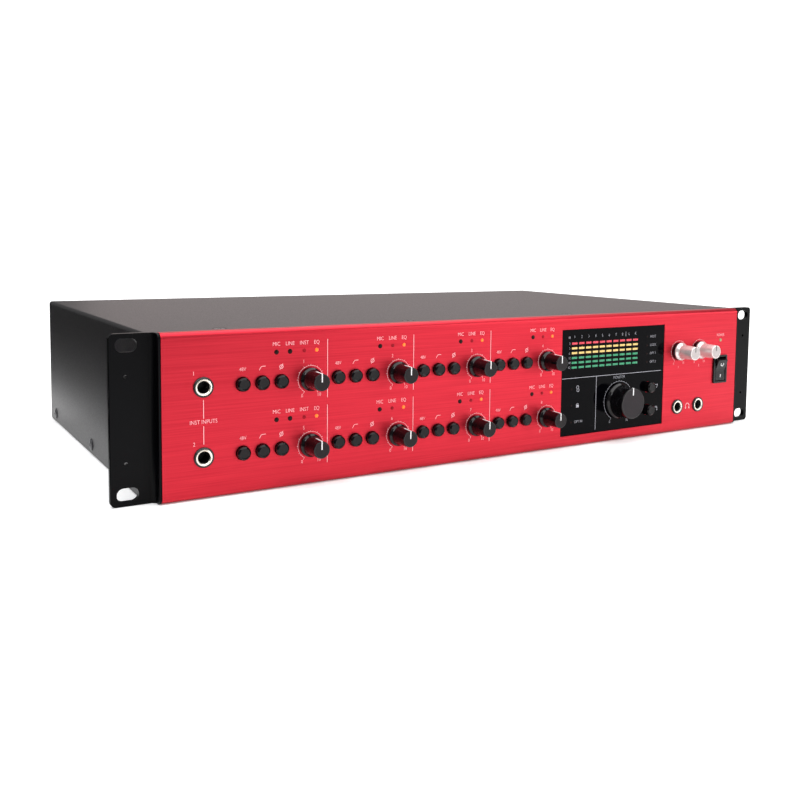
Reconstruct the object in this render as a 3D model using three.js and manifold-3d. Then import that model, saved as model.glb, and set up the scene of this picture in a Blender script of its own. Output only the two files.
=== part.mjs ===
// Rack-mount audio interface, two rack units high, with eight microphone channels.
//
// Units are millimetres. +Z is up, +X is to the right seen from the front, +Y runs back into the rack.
// The origin is on the underside, midway between the ears, in the plane where the ears meet the rack rails.
import * as THREE from "three";
import { mergeVertices } from "three/addons/utils/BufferGeometryUtils.js";
import Module from "manifold-3d";

// ---- Driving dimensions ----

const GAP = 0.3; // clearance between pieces that meet
const SHEET = 1.2; // steel sheet of the cover and the tray

const RACK_WIDTH = 482.6;
const FRONT_HEIGHT = 88;
const EAR_THICKNESS = 3;
const EAR_INNER_X = 217.5;
const CHEEK_THICKNESS = 1.2; // forward lip of an ear, beside the fascia
const EAR_CORNER = 3;
const EAR_SEAT_X = 224.4; // the back of an ear meets the rail from here out, and is relieved inside it
const EAR_RELIEF = 0.4;
const EAR_FLANGE = { inner: 219.9, outer: 221.9, back: 28, low: 16, high: 76 };
const PIN_HOLE = { x: 233.3, radius: 1, dz: 22.2 }; // two small holes in each ear
const SLOT_X = 232.6; // rack slots: centre, length, height and rack pitch
const SLOT_LENGTH = 11;
const SLOT_HEIGHT = 7.1;
const SLOT_PITCH = 76.2;

const BODY_WIDTH = 448;
const BODY_TOP = 87.8;
const BODY_BACK = 258.1;
const COVER_BEND = 2; // outer radius of the cover's two bends
const COVER_LOW = 0.4; // the cover's sides end just above the underside
const TRAY_WALL_HEIGHT = 13; // the tray's side walls, inside the cover
const FRONT_LIP_Y = 12; // the lip along the top of the tray's front wall runs back to here
const REAR_LIP_Y = 244; // and the lip along the top of its rear panel forward to here

const FASCIA_HALF_WIDTH = 217.2;
const FACE_Y = -10; // front face of the fascia
const FASCIA_DEPTH = 7;
const FASCIA_WALL = 3;
const FASCIA_LIP = 2.5; // the full depth is only kept along the long edges
const FASCIA_ROUND = 3; // radius of its long front edges
const TRAY_FRONT_Y = FACE_Y + FASCIA_DEPTH + GAP;

const CHANNELS_PER_ROW = 4;
const FIRST_KNOB_X = -134.9;
const CHANNEL_PITCH = 56.1;
const ROW_Z = [59.1, 22.2]; // upper row, lower row
const BUTTON_OFFSETS = { phantom_button: -39.3, filter_button: -28.35, phase_button: -17.4 };

const BUTTON_RADIUS = 3.7;
const BUTTON_HEIGHT = 3.1; // how far a channel button stands out of the fascia
const MONITOR_BUTTON_HEIGHT = 4.8;
const BUTTON_BACK_Y = -4;
const PLUNGER_RADIUS = 1.5;
const PLUNGER_END_Y = 2.2;
const SHAFT_RADIUS = 3;
const SHAFT_END_Y = 4.5;

const GAIN_KNOB = { skirt: 6.5, barrel: 5.3, cap: 4.85, height: 14.7 };
const PHONES_KNOB = { skirt: 6.5, barrel: 5, cap: 4.75, height: 15.8 };
const MONITOR_KNOB = { skirt: 12.3, barrel: 10.8, cap: 10.4, height: 14 };
const KNOB_LIFT = 0.5; // air under a knob's skirt

const DISPLAY = { left: 45.6, right: 140.4, low: 7.5, high: 78.9, pocket: 2 };
const METER = { columns: 10, firstX: 56.5, pitch: 6.17, width: 4.9, low: 51.8, high: 71.2 };
const METER_SLOTS = [
  [52, 83],
  [85, 116],
]; // the two openings for the meter's light block in the tray's front wall
const BUTTON_SLOT = { left: -44.5, right: -12.3, halfHeight: 5 }; // from a channel's knob
const LIGHT_SLOT = { left: -22, right: 6, low: 14, high: 18 };
const MONITOR_KNOB_AT = { x: 97.6, z: 27.8 };
const MONITOR_BUTTONS = { dim_button: { x: 125.3, z: 35.2 }, mute_button: { x: 125.3, z: 19.1 } };

const INST_JACK_X = -195.5;
const PHONES_X = [155.5, 177];
const PHONES_KNOB_Z = 58.9;
const PHONES_JACK_Z = 18.4;
const JACK_BORE = 3.25; // quarter-inch plug
const JACK_BUSH = 4.9;
const JACK_RING = 5.35;
const JACK_BLOCK = { half: 7.5, back: 24 };
const JACK_BORE_END_Y = 22;

const SWITCH_AT = { x: 199.65, z: 43.3 };
const BEZEL = { halfWidth: 7.25, halfHeight: 10.5, front: FACE_Y - 1.2 };
const SWITCH_BODY = { halfWidth: 6.4, halfHeight: 9.9, back: 16 };
const SWITCH_WELL = { halfWidth: 5.5, halfHeight: 9.1, back: 2 };
const SWITCH_BLADE = { pitch: 5.5, halfWidth: 2.4, halfHeight: 0.4, length: 7 };
const ROCKER_HALF_WIDTH = 5.1;
const ROCKER_PIVOT_Y = -7.4;
const ROCKER_PIN = { radius: 1.1, length: 0.7, hole: 1.5 };
const ROCKER_TILT = 10; // degrees each way from level; at rest the lower half is pressed in

const BOARD = 1.6; // thickness of a circuit board
const CONTROL_BOARD_Y = 8;
const FLOOR_BOARD_Z = 9;
const HEADER = { left: -30, right: 22, height: 6 }; // the ribbon cable's two headers
const LOOM_RADIUS = 3;

const COMBO = { count: 8, firstX: -203, pitch: 28, z: 24, radius: 11.8, halfWidth: 13, halfHeight: 14 };
const COMBO_GROOVE = { outer: 9.8, inner: 7.4, depth: 12 };
const OUTPUT = { count: 10, firstX: -204, pitch: 22, z: 62, half: 8, bush: 5.2, nut: 6.9 };
const CONTROL_SOCKET = { x: [26, 48], z: 24, half: 9.5, radius: 7.8 };
const OPTICAL = { x: [24, 42], z: 60, half: 6.5, mouth: 5.2 };
const COAX = { x: [62, 78], z: 60, radius: 4.2, length: 9 };
const CLOCK = { x: [72, 92], z: 24, half: 7.5, radius: 4.8, length: 10.5 };
const PORT = { x: 104, z: 58, halfWidth: 5, halfHeight: 2.4 };
const INLET = { x: 178, z: 32, halfWidth: 13.6, halfHeight: 10, wellDepth: 16 };
const SOCKET_DEPTH = 22; // moulded bodies of the analogue sockets, in front of the rear panel
const DIGITAL_DEPTH = 14;
const REAR_PROUD = 0.8; // how far a flush socket stands out of the rear panel

const BUTTON_SIDES = 10;
const BORE_SIDES = 8; // sides of the small round shapes
const ROUND_SIDES = 12;

// ---- Geometry helpers ----

const wasm = await Module();
wasm.setup();

// A closed three.js geometry as a solid that can be joined and cut.
function solid(geometry) {
  const bare = geometry.clone();
  bare.deleteAttribute("normal");
  bare.deleteAttribute("uv");
  const merged = mergeVertices(bare, 1e-4);
  const vertProperties = merged.attributes.position.array;
  const triVerts = new Uint32Array(merged.index.array);
  return new wasm.Manifold(new wasm.Mesh({ numProp: 3, vertProperties, triVerts }));
}

function geometryOf(body) {
  const mesh = body.getMesh();
  const geometry = new THREE.BufferGeometry();
  geometry.setAttribute("position", new THREE.BufferAttribute(mesh.vertProperties, 3));
  geometry.setIndex(new THREE.BufferAttribute(mesh.triVerts, 1));
  geometry.computeVertexNormals();
  return geometry;
}

const join = (first, ...others) => others.reduce((sum, body) => sum.add(body), first);
const cut = (first, ...others) => others.reduce((rest, body) => rest.subtract(body), first);

function box(x0, x1, y0, y1, z0, z1) {
  const geometry = new THREE.BoxGeometry(x1 - x0, y1 - y0, z1 - z0);
  geometry.translate((x0 + x1) / 2, (y0 + y1) / 2, (z0 + z1) / 2);
  return solid(geometry);
}

// A box given by its centre and half sizes in X and Z.
function block(at, halfWidth, halfHeight, y0, y1) {
  return box(at.x - halfWidth, at.x + halfWidth, y0, y1, at.z - halfHeight, at.z + halfHeight);
}

// A body turned about a line along Y; the profile is a list of [radius, y] from front to back.
function turned(x, z, profile, sides) {
  const points = profile.map(([radius, y]) => new THREE.Vector2(radius, y));
  const geometry = new THREE.LatheGeometry(points, sides);
  geometry.translate(x, 0, z);
  return solid(geometry);
}

function rod(x, z, radius, y0, y1, sides = ROUND_SIDES) {
  const profile = [
    [0, y0],
    [radius, y0],
    [radius, y1],
    [0, y1],
  ];
  return turned(x, z, profile, sides);
}

function post(x, y, radius, z0, z1, sides = BORE_SIDES) {
  const geometry = new THREE.CylinderGeometry(radius, radius, z1 - z0, sides);
  geometry.rotateX(Math.PI / 2);
  geometry.translate(x, y, (z0 + z1) / 2);
  return solid(geometry);
}

const extrude = (shape, depth, curveSegments) =>
  new THREE.ExtrudeGeometry(shape, { depth, curveSegments, bevelEnabled: false });

// An outline in X and Z, given thickness from y0 to y1.
function plate(shape, y0, y1, curveSegments = 4) {
  const geometry = extrude(shape, y1 - y0, curveSegments);
  geometry.rotateX(Math.PI / 2);
  geometry.translate(0, y1, 0);
  return solid(geometry);
}

// Turns an extrusion so that its outline lies in Y and Z and its depth runs along X.
const ALONG_X = new THREE.Matrix4().makeBasis(
  new THREE.Vector3(0, 1, 0),
  new THREE.Vector3(0, 0, 1),
  new THREE.Vector3(1, 0, 0),
);

// An outline in Y and Z, drawn out along X from x0 to x1.
function bar(shape, x0, x1, curveSegments = 4) {
  const geometry = extrude(shape, x1 - x0, curveSegments);
  geometry.applyMatrix4(ALONG_X);
  geometry.translate(x0, 0, 0);
  return solid(geometry);
}

function outline(points) {
  const shape = new THREE.Shape();
  shape.setFromPoints(points.map(([u, v]) => new THREE.Vector2(u, v)));
  return shape;
}

const group = new THREE.Group();

function addPiece(name, body, color, roughness, metalness) {
  const material = new THREE.MeshStandardMaterial({ color, roughness, metalness });
  const mesh = new THREE.Mesh(geometryOf(body), material);
  mesh.name = name;
  group.add(mesh);
}

const BLACK_PLASTIC = [0x1c1b1c, 0.5, 0];
const BLACK_PAINT = [0x202022, 0.55, 0.1];
const GREEN_BOARD = [0x1f5a38, 0.6, 0];

// ---- Where the controls are ----

const channels = [];
ROW_Z.forEach((z, row) => {
  for (let column = 0; column < CHANNELS_PER_ROW; column += 1) {
    const number = row * CHANNELS_PER_ROW + column + 1;
    channels.push({ number, x: FIRST_KNOB_X + column * CHANNEL_PITCH, z });
  }
});

const channelButtons = channels.flatMap(({ number, x, z }) =>
  Object.entries(BUTTON_OFFSETS).map(([kind, offset]) => ({
    name: `${kind}_${number}`,
    x: x + offset,
    z,
    height: BUTTON_HEIGHT,
  })),
);
const monitorButtons = Object.entries(MONITOR_BUTTONS).map(([name, at]) => ({
  name,
  ...at,
  height: MONITOR_BUTTON_HEIGHT,
}));

const knobs = [
  ...channels.map(({ number, x, z }) => ({ name: `gain_knob_${number}`, x, z, size: GAIN_KNOB })),
  ...PHONES_X.map((x, i) => ({ name: `phones_knob_${i + 1}`, x, z: PHONES_KNOB_Z, size: PHONES_KNOB })),
  { name: "monitor_knob", ...MONITOR_KNOB_AT, size: MONITOR_KNOB },
];

const frontJacks = [
  ...ROW_Z.map((z, i) => ({ name: `instrument_jack_${i + 1}`, x: INST_JACK_X, z })),
  ...PHONES_X.map((x, i) => ({ name: `phones_jack_${i + 1}`, x, z: PHONES_JACK_Z })),
];

// ---- Fascia and display ----

const BUTTON_HOLE = BUTTON_RADIUS + GAP;
const SHAFT_HOLE = SHAFT_RADIUS + 0.5;

// The holes that the display window and the fascia behind it share.
const displayHoles = (y0, y1) => [
  ...monitorButtons.map(({ x, z }) => rod(x, z, BUTTON_HOLE, y0, y1, BUTTON_SIDES)),
  rod(MONITOR_KNOB_AT.x, MONITOR_KNOB_AT.z, SHAFT_HOLE, y0, y1, BORE_SIDES),
];

function makeFascia() {
  const back = FACE_Y + FASCIA_DEPTH;
  const inner = FACE_Y + FASCIA_WALL;
  const lip = FASCIA_LIP;
  const round = FASCIA_ROUND;
  const section = new THREE.Shape();
  section.moveTo(back, 0);
  section.lineTo(back, lip);
  section.lineTo(inner, lip);
  section.lineTo(inner, FRONT_HEIGHT - lip);
  section.lineTo(back, FRONT_HEIGHT - lip);
  section.lineTo(back, FRONT_HEIGHT);
  section.absarc(FACE_Y + round, FRONT_HEIGHT - round, round, Math.PI / 2, Math.PI, false);
  section.absarc(FACE_Y + round, round, round, Math.PI, 1.5 * Math.PI, false);

  const front = FACE_Y - 1;
  const holeEnd = inner + 1;
  const pocketFloor = FACE_Y + DISPLAY.pocket;
  const columns = Array.from({ length: METER.columns }, (_, i) => METER.firstX + i * METER.pitch);
  return cut(
    bar(section, -FASCIA_HALF_WIDTH, FASCIA_HALF_WIDTH),
    box(DISPLAY.left, DISPLAY.right, front, pocketFloor, DISPLAY.low, DISPLAY.high),
    ...columns.map((x) =>
      box(x - METER.width / 2, x + METER.width / 2, front, holeEnd, METER.low, METER.high),
    ),
    ...displayHoles(front, holeEnd),
    ...channelButtons.map(({ x, z }) => rod(x, z, BUTTON_HOLE, front, holeEnd, BUTTON_SIDES)),
    ...knobs.map(({ x, z }) => rod(x, z, SHAFT_HOLE, front, holeEnd, BORE_SIDES)),
    ...frontJacks.map(({ x, z }) => rod(x, z, JACK_BUSH + GAP, front, holeEnd)),
    block(SWITCH_AT, SWITCH_BODY.halfWidth + 0.4, SWITCH_BODY.halfHeight + 0.4, front, holeEnd),
  );
}

function makeDisplayWindow() {
  const front = FACE_Y + 0.2;
  const back = FACE_Y + DISPLAY.pocket - GAP;
  const { left, right, low, high } = DISPLAY;
  return cut(
    box(left + GAP, right - GAP, front, back, low + GAP, high - GAP),
    ...displayHoles(front - 1, back + 1),
  );
}

// ---- Ears ----

// The right ear. Its plate lies against the rack rail, a thin cheek covers the end of the fascia, and a
// flange runs back inside the cover's side wall.
function makeRightEar() {
  const front = -EAR_THICKNESS;
  const cheekX = EAR_INNER_X + CHEEK_THICKNESS;
  const fillet = 2.5;
  const edge = RACK_WIDTH / 2;
  const section = new THREE.Shape();
  section.moveTo(EAR_INNER_X, FACE_Y);
  section.lineTo(cheekX, FACE_Y);
  section.absarc(cheekX + fillet, front - fillet, fillet, Math.PI, Math.PI / 2, true);
  section.lineTo(edge, front);
  section.lineTo(edge, 0);
  section.lineTo(EAR_SEAT_X, 0);
  section.lineTo(EAR_SEAT_X, -EAR_RELIEF);
  section.lineTo(EAR_INNER_X, -EAR_RELIEF);
  const blank = solid(extrude(section, FRONT_HEIGHT, 3));

  const corner = EAR_CORNER;
  const face = new THREE.Shape();
  face.moveTo(EAR_INNER_X - 1, 0);
  face.lineTo(edge - corner, 0);
  face.absarc(edge - corner, corner, corner, -Math.PI / 2, 0, false);
  face.absarc(edge - corner, FRONT_HEIGHT - corner, corner, 0, Math.PI / 2, false);
  face.lineTo(EAR_INNER_X - 1, FRONT_HEIGHT);

  const round = FASCIA_ROUND;
  const side = new THREE.Shape();
  side.moveTo(1, 0);
  side.lineTo(1, FRONT_HEIGHT);
  side.absarc(FACE_Y + round, FRONT_HEIGHT - round, round, Math.PI / 2, Math.PI, false);
  side.absarc(FACE_Y + round, round, round, Math.PI, 1.5 * Math.PI, false);

  const middle = FRONT_HEIGHT / 2;
  const slots = [-1, 1].map((sign) => rackSlot(middle + (sign * SLOT_PITCH) / 2));
  const pinHoles = [-1, 1].map((sign) =>
    rod(PIN_HOLE.x, middle + sign * PIN_HOLE.dz, PIN_HOLE.radius, front - 1, 1, BORE_SIDES),
  );
  const trimmed = blank
    .intersect(plate(face, FACE_Y - 1, 1))
    .intersect(bar(side, EAR_INNER_X - 1, edge + 1));
  const { inner, outer, back, low, high } = EAR_FLANGE;
  return join(cut(trimmed, ...slots, ...pinHoles), box(inner, outer, -1, back, low, high));
}

function rackSlot(z) {
  const radius = SLOT_HEIGHT / 2;
  const reach = SLOT_LENGTH / 2 - radius;
  const shape = new THREE.Shape();
  shape.absarc(SLOT_X + reach, z, radius, -Math.PI / 2, Math.PI / 2, false);
  shape.absarc(SLOT_X - reach, z, radius, Math.PI / 2, 1.5 * Math.PI, false);
  return plate(shape, -EAR_THICKNESS - 1, 1, 6);
}

// ---- Sheet-metal body ----

const BODY_HALF = BODY_WIDTH / 2;
const TRAY_HALF = BODY_HALF - SHEET - GAP;
const TRAY_TOP = BODY_TOP - SHEET - GAP;

// Where the sockets of one kind sit, from their list of X positions.
const placesOf = ({ x, z }) => x.map((each) => ({ x: each, z }));

// Top and both sides, bent from one sheet.
function makeTopCover() {
  const bend = COVER_BEND;
  const inside = bend - SHEET;
  const low = COVER_LOW;
  const innerX = BODY_HALF - SHEET;
  const innerZ = BODY_TOP - SHEET;
  const shape = new THREE.Shape();
  shape.moveTo(BODY_HALF, low);
  shape.lineTo(BODY_HALF, BODY_TOP - bend);
  shape.absarc(BODY_HALF - bend, BODY_TOP - bend, bend, 0, Math.PI / 2, false);
  shape.absarc(bend - BODY_HALF, BODY_TOP - bend, bend, Math.PI / 2, Math.PI, false);
  shape.lineTo(-BODY_HALF, low);
  shape.lineTo(-innerX, low);
  shape.absarc(inside - innerX, innerZ - inside, inside, Math.PI, Math.PI / 2, true);
  shape.absarc(innerX - inside, innerZ - inside, inside, Math.PI / 2, 0, true);
  shape.lineTo(innerX, low);
  const frontTongue = box(-FASCIA_HALF_WIDTH, FASCIA_HALF_WIDTH, TRAY_FRONT_Y, 1, innerZ, BODY_TOP);
  return join(plate(shape, GAP, BODY_BACK, 3), frontTongue);
}

const rowOf = ({ count, firstX, pitch, z }) =>
  Array.from({ length: count }, (_, i) => ({ x: firstX + i * pitch, z }));
const combos = rowOf(COMBO);
const outputs = rowOf(OUTPUT);

// Floor, front wall, rear panel and short side walls, bent from one sheet.
function makeTray() {
  const frontBack = TRAY_FRONT_Y + SHEET;
  const half = FASCIA_HALF_WIDTH;
  const rearInner = BODY_BACK - SHEET;
  const body = join(
    box(-TRAY_HALF, TRAY_HALF, GAP, BODY_BACK, 0, SHEET),
    box(-half, half, TRAY_FRONT_Y, 1, 0, SHEET),
    box(-half, half, TRAY_FRONT_Y, frontBack, 0, TRAY_TOP),
    box(-half, half, TRAY_FRONT_Y, FRONT_LIP_Y, TRAY_TOP - SHEET, TRAY_TOP),
    box(-TRAY_HALF, TRAY_HALF, rearInner, BODY_BACK, 0, TRAY_TOP),
    box(-TRAY_HALF, TRAY_HALF, REAR_LIP_Y, BODY_BACK, TRAY_TOP - SHEET, TRAY_TOP),
    box(-TRAY_HALF, SHEET - TRAY_HALF, GAP, BODY_BACK, 0, TRAY_WALL_HEIGHT),
    box(TRAY_HALF - SHEET, TRAY_HALF, GAP, BODY_BACK, 0, TRAY_WALL_HEIGHT),
  );
  const frontCuts = frontWallCuts(TRAY_FRONT_Y - 1, frontBack + 1);
  return cut(body, ...frontCuts, ...rearPanelCuts(rearInner - 1, BODY_BACK + 1));
}

function frontWallCuts(y0, y1) {
  const { left, right, halfHeight } = BUTTON_SLOT;
  const light = LIGHT_SLOT;
  return [
    ...channels.flatMap(({ x, z }) => [
      box(x + left, x + right, y0, y1, z - halfHeight, z + halfHeight),
      box(x + light.left, x + light.right, y0, y1, z + light.low, z + light.high),
    ]),
    ...knobs.map((at) => block(at, SHAFT_RADIUS + 1, SHAFT_RADIUS + 1, y0, y1)),
    ...frontJacks.map((at) => block(at, JACK_BUSH + 1, JACK_BUSH + 1, y0, y1)),
    ...monitorButtons.map((at) => block(at, BUTTON_RADIUS + 0.8, BUTTON_RADIUS + 0.8, y0, y1)),
    ...METER_SLOTS.map(([x0, x1]) => box(x0, x1, y0, y1, METER.low, METER.high)),
    block(SWITCH_AT, SWITCH_BODY.halfWidth + 0.6, SWITCH_BODY.halfHeight + 0.6, y0, y1),
  ];
}

function rearPanelCuts(y0, y1) {
  return [
    ...combos.map(({ x, z }) => rod(x, z, COMBO.radius + GAP, y0, y1)),
    ...outputs.map(({ x, z }) => rod(x, z, OUTPUT.bush + GAP, y0, y1, BORE_SIDES)),
    ...placesOf(CONTROL_SOCKET).map(({ x, z }) => rod(x, z, CONTROL_SOCKET.radius + GAP, y0, y1)),
    ...placesOf(OPTICAL).map((at) => block(at, OPTICAL.mouth + GAP, OPTICAL.mouth + GAP, y0, y1)),
    ...placesOf(COAX).map(({ x, z }) => rod(x, z, COAX.radius + GAP, y0, y1, BORE_SIDES)),
    ...placesOf(CLOCK).map(({ x, z }) => rod(x, z, CLOCK.radius + GAP, y0, y1, BORE_SIDES)),
    block(PORT, PORT.halfWidth + GAP, PORT.halfHeight + GAP, y0, y1),
    block(INLET, INLET.halfWidth + GAP, INLET.halfHeight + GAP, y0, y1),
  ];
}

// ---- Controls ----

function makeButton({ x, z, height }) {
  const front = FACE_Y - height;
  const profile = [
    [0, front],
    [BUTTON_RADIUS, front],
    [BUTTON_RADIUS, BUTTON_BACK_Y],
    [PLUNGER_RADIUS, BUTTON_BACK_Y],
    [PLUNGER_RADIUS, PLUNGER_END_Y],
    [0, PLUNGER_END_Y],
  ];
  return turned(x, z, profile, BUTTON_SIDES);
}

// A knob pressed on its shaft: a flared skirt steps in to a slim barrel.
function makeKnob({ x, z, size }) {
  const { skirt, barrel, cap, height } = size;
  const front = FACE_Y - height;
  const back = FACE_Y - KNOB_LIFT;
  const profile = [
    [0, front],
    [cap, front],
    [barrel, FACE_Y - 3.4],
    [skirt, FACE_Y - 1.6],
    [skirt, back],
    [SHAFT_RADIUS, back],
    [SHAFT_RADIUS, SHAFT_END_Y],
    [0, SHAFT_END_Y],
  ];
  return turned(x, z, profile, skirt > 10 ? 2 * ROUND_SIDES : ROUND_SIDES);
}

// A jack socket: ring and bush in front, moulded body behind the tray's front wall, open at the mouth.
function makeFrontJack({ x, z }) {
  const bodyFront = TRAY_FRONT_Y + SHEET + GAP;
  return cut(
    join(
      rod(x, z, JACK_RING, FACE_Y - 1.1, FACE_Y - GAP),
      rod(x, z, JACK_BUSH, FACE_Y - 0.5, bodyFront + 1),
      block({ x, z }, JACK_BLOCK.half, JACK_BLOCK.half, bodyFront, JACK_BLOCK.back),
    ),
    rod(x, z, JACK_BORE, FACE_Y - 2, JACK_BORE_END_Y, BORE_SIDES),
  );
}

function makeSwitchHousing() {
  const { front } = BEZEL;
  const { back } = SWITCH_BODY;
  const { pitch, halfWidth, halfHeight, length } = SWITCH_BLADE;
  const blades = [-pitch, 0, pitch].map((dz) =>
    block({ x: SWITCH_AT.x, z: SWITCH_AT.z + dz }, halfWidth, halfHeight, back - 1, back + length),
  );
  const pinHoles = new THREE.CylinderGeometry(ROCKER_PIN.hole, ROCKER_PIN.hole, 12.2, BORE_SIDES);
  pinHoles.rotateZ(Math.PI / 2);
  pinHoles.translate(SWITCH_AT.x, ROCKER_PIVOT_Y, SWITCH_AT.z);
  return cut(
    join(
      block(SWITCH_AT, BEZEL.halfWidth, BEZEL.halfHeight, front, FACE_Y - GAP),
      block(SWITCH_AT, SWITCH_BODY.halfWidth, SWITCH_BODY.halfHeight, front + 0.2, back),
      ...blades,
    ),
    block(SWITCH_AT, SWITCH_WELL.halfWidth, SWITCH_WELL.halfHeight, front - 1, SWITCH_WELL.back),
    solid(pinHoles),
  );
}

// The rocker, on its two pivot pins. Its side outline is drawn level and turned to the rest position.
function makeRocker() {
  const halfOutline = [
    [-5.1, 8],
    [0, 8.2],
    [4, 7.2],
    [6.5, 4.5],
  ];
  const lower = halfOutline.map(([y, z]) => [y, -z]).reverse();
  const shape = outline([[-3.6, 0], ...halfOutline, ...lower]);
  const body = extrude(shape, 2 * ROCKER_HALF_WIDTH, 1);
  const pinLength = 2 * (ROCKER_HALF_WIDTH + ROCKER_PIN.length);
  const pins = new THREE.CylinderGeometry(ROCKER_PIN.radius, ROCKER_PIN.radius, pinLength, BORE_SIDES);
  pins.rotateZ(Math.PI / 2);
  body.applyMatrix4(ALONG_X);
  body.translate(-ROCKER_HALF_WIDTH, 0, 0);
  for (const geometry of [body, pins]) {
    geometry.rotateX(THREE.MathUtils.degToRad(ROCKER_TILT));
    geometry.translate(SWITCH_AT.x, ROCKER_PIVOT_Y, SWITCH_AT.z);
  }
  return join(solid(body), solid(pins));
}

// ---- Circuit boards and wiring ----

const SOCKETED = 0.5; // how far a soldered part's solid runs into its board

// Upright board behind the front wall: potentiometers, push switches and the meter's light block.
function makeControlBoard() {
  const front = CONTROL_BOARD_Y;
  const back = front + BOARD;
  const partBack = front + SOCKETED;
  const potFront = 1;
  const potHalf = 4.8;
  const switchFront = 3.8;
  const switchHalf = 3.1;
  const standoffs = [-180, -90, 0, 90].flatMap((x) => [10, 78].map((z) => ({ x, z })));
  const standoffFront = TRAY_FRONT_Y + SHEET + GAP;
  const lights = { left: 53, right: 115 };
  const parts = join(
    box(-184, 146, front, back, 6, 82),
    box(140, 188, front, back, 34, 82),
    ...knobs.map((at) => block(at, potHalf, potHalf, potFront, partBack)),
    ...[...channelButtons, ...monitorButtons].map((at) =>
      block(at, switchHalf, switchHalf, switchFront, partBack),
    ),
    box(lights.left, lights.right, potFront, partBack, METER.low + 1, METER.high - 1),
    ...standoffs.map(({ x, z }) => rod(x, z, 2.5, standoffFront, partBack, 6)),
    box(HEADER.left, HEADER.right, back - SOCKETED, back + HEADER.height, 12, 18),
  );
  const shaftEnd = SHAFT_END_Y + 0.5;
  return cut(parts, ...knobs.map(({ x, z }) => rod(x, z, SHAFT_HOLE, 0, shaftEnd, BORE_SIDES)));
}

function boardFeet(places) {
  return places.map(([x, y]) => post(x, y, 3, SHEET + GAP, FLOOR_BOARD_Z + SOCKETED));
}

// A part standing on a floor board, from its X and Y limits and its height.
function onBoard([x0, x1, y0, y1, height]) {
  const top = FLOOR_BOARD_Z + BOARD;
  return box(x0, x1, y0, y1, top - SOCKETED, top + height);
}

function makeMainBoard() {
  const top = FLOOR_BOARD_Z + BOARD;
  const feet = [-205, -50, 102].flatMap((x) => [44, 210].map((y) => [x, y]));
  const chips = [
    [-74, -46, 96, 124, 1.5],
    [9, 31, 109, 131, 1.5],
    [61, 79, 81, 99, 1.5],
  ];
  const header = [HEADER.left, HEADER.right, 40, 46, HEADER.height];
  return join(
    box(-214, 112, 34, 220, FLOOR_BOARD_Z, top),
    ...boardFeet(feet),
    ...chips.map(onBoard),
    onBoard(header),
    ...combos.map(({ x }) => onBoard([x - 7, x + 7, 170, 190, 3])), // one preamplifier per socket
    ...combos.map(({ x }) => post(x - 5, 152, 3, top - SOCKETED, top + 9)),
  );
}

function makePowerSupply() {
  const top = FLOOR_BOARD_Z + BOARD;
  const feet = [130, 202].flatMap((x) => [78, 197].map((y) => [x, y]));
  const transformer = [140, 176, 112, 146, 30];
  const heatSink = [188, 191, 90, 170, 34];
  const inputFilter = [176, 202, 180, 200, 12];
  const outputHeader = [136, 160, 82, 96, 14];
  return join(
    box(124, 208, 70, 205, FLOOR_BOARD_Z, top),
    ...boardFeet(feet),
    ...[transformer, heatSink, inputFilter, outputHeader].map(onBoard),
    ...[142, 164].map((x) => post(x, 176, 9, top - SOCKETED, top + 30, ROUND_SIDES)),
  );
}

// Flat cable from the header on the control board down to the header on the main board.
function makeRibbonCable() {
  const thickness = 1;
  const startY = CONTROL_BOARD_Y + BOARD + HEADER.height + GAP;
  const endY = 43;
  const end = FLOOR_BOARD_Z + BOARD + HEADER.height + GAP;
  const rise = 24;
  const shape = outline([
    [startY, 12],
    [startY + thickness, 12],
    [startY + thickness, rise - thickness],
    [endY - thickness, rise - thickness],
    [endY - thickness, end],
    [endY, end],
    [endY, rise],
    [startY, rise],
  ]);
  return bar(shape, HEADER.left + 4, HEADER.right - 4);
}

// Insulated mains leads from the inlet forward along the right side to the power switch.
function makeMainsLoom() {
  const route = new THREE.CatmullRomCurve3([
    new THREE.Vector3(INLET.x + 6, 230, INLET.z),
    new THREE.Vector3(INLET.x + 8, 222, INLET.z - 2),
    new THREE.Vector3(212, 204, 22),
    new THREE.Vector3(214, 170, 20),
    new THREE.Vector3(214, 70, 20),
    new THREE.Vector3(210, 44, 28),
    new THREE.Vector3(SWITCH_AT.x + 2, 34, 40),
    new THREE.Vector3(SWITCH_AT.x, SWITCH_BODY.back + 8, SWITCH_AT.z),
  ]);
  const section = new THREE.Shape();
  section.absarc(0, 0, LOOM_RADIUS, 0, 2 * Math.PI, false);
  const options = { steps: 24, curveSegments: 4, extrudePath: route, bevelEnabled: false };
  return solid(new THREE.ExtrudeGeometry(section, options));
}

// ---- Rear connectors ----

// The bodies of the rear sockets end just inside the rear panel.
const SOCKET_BACK = BODY_BACK - SHEET - GAP;

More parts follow.
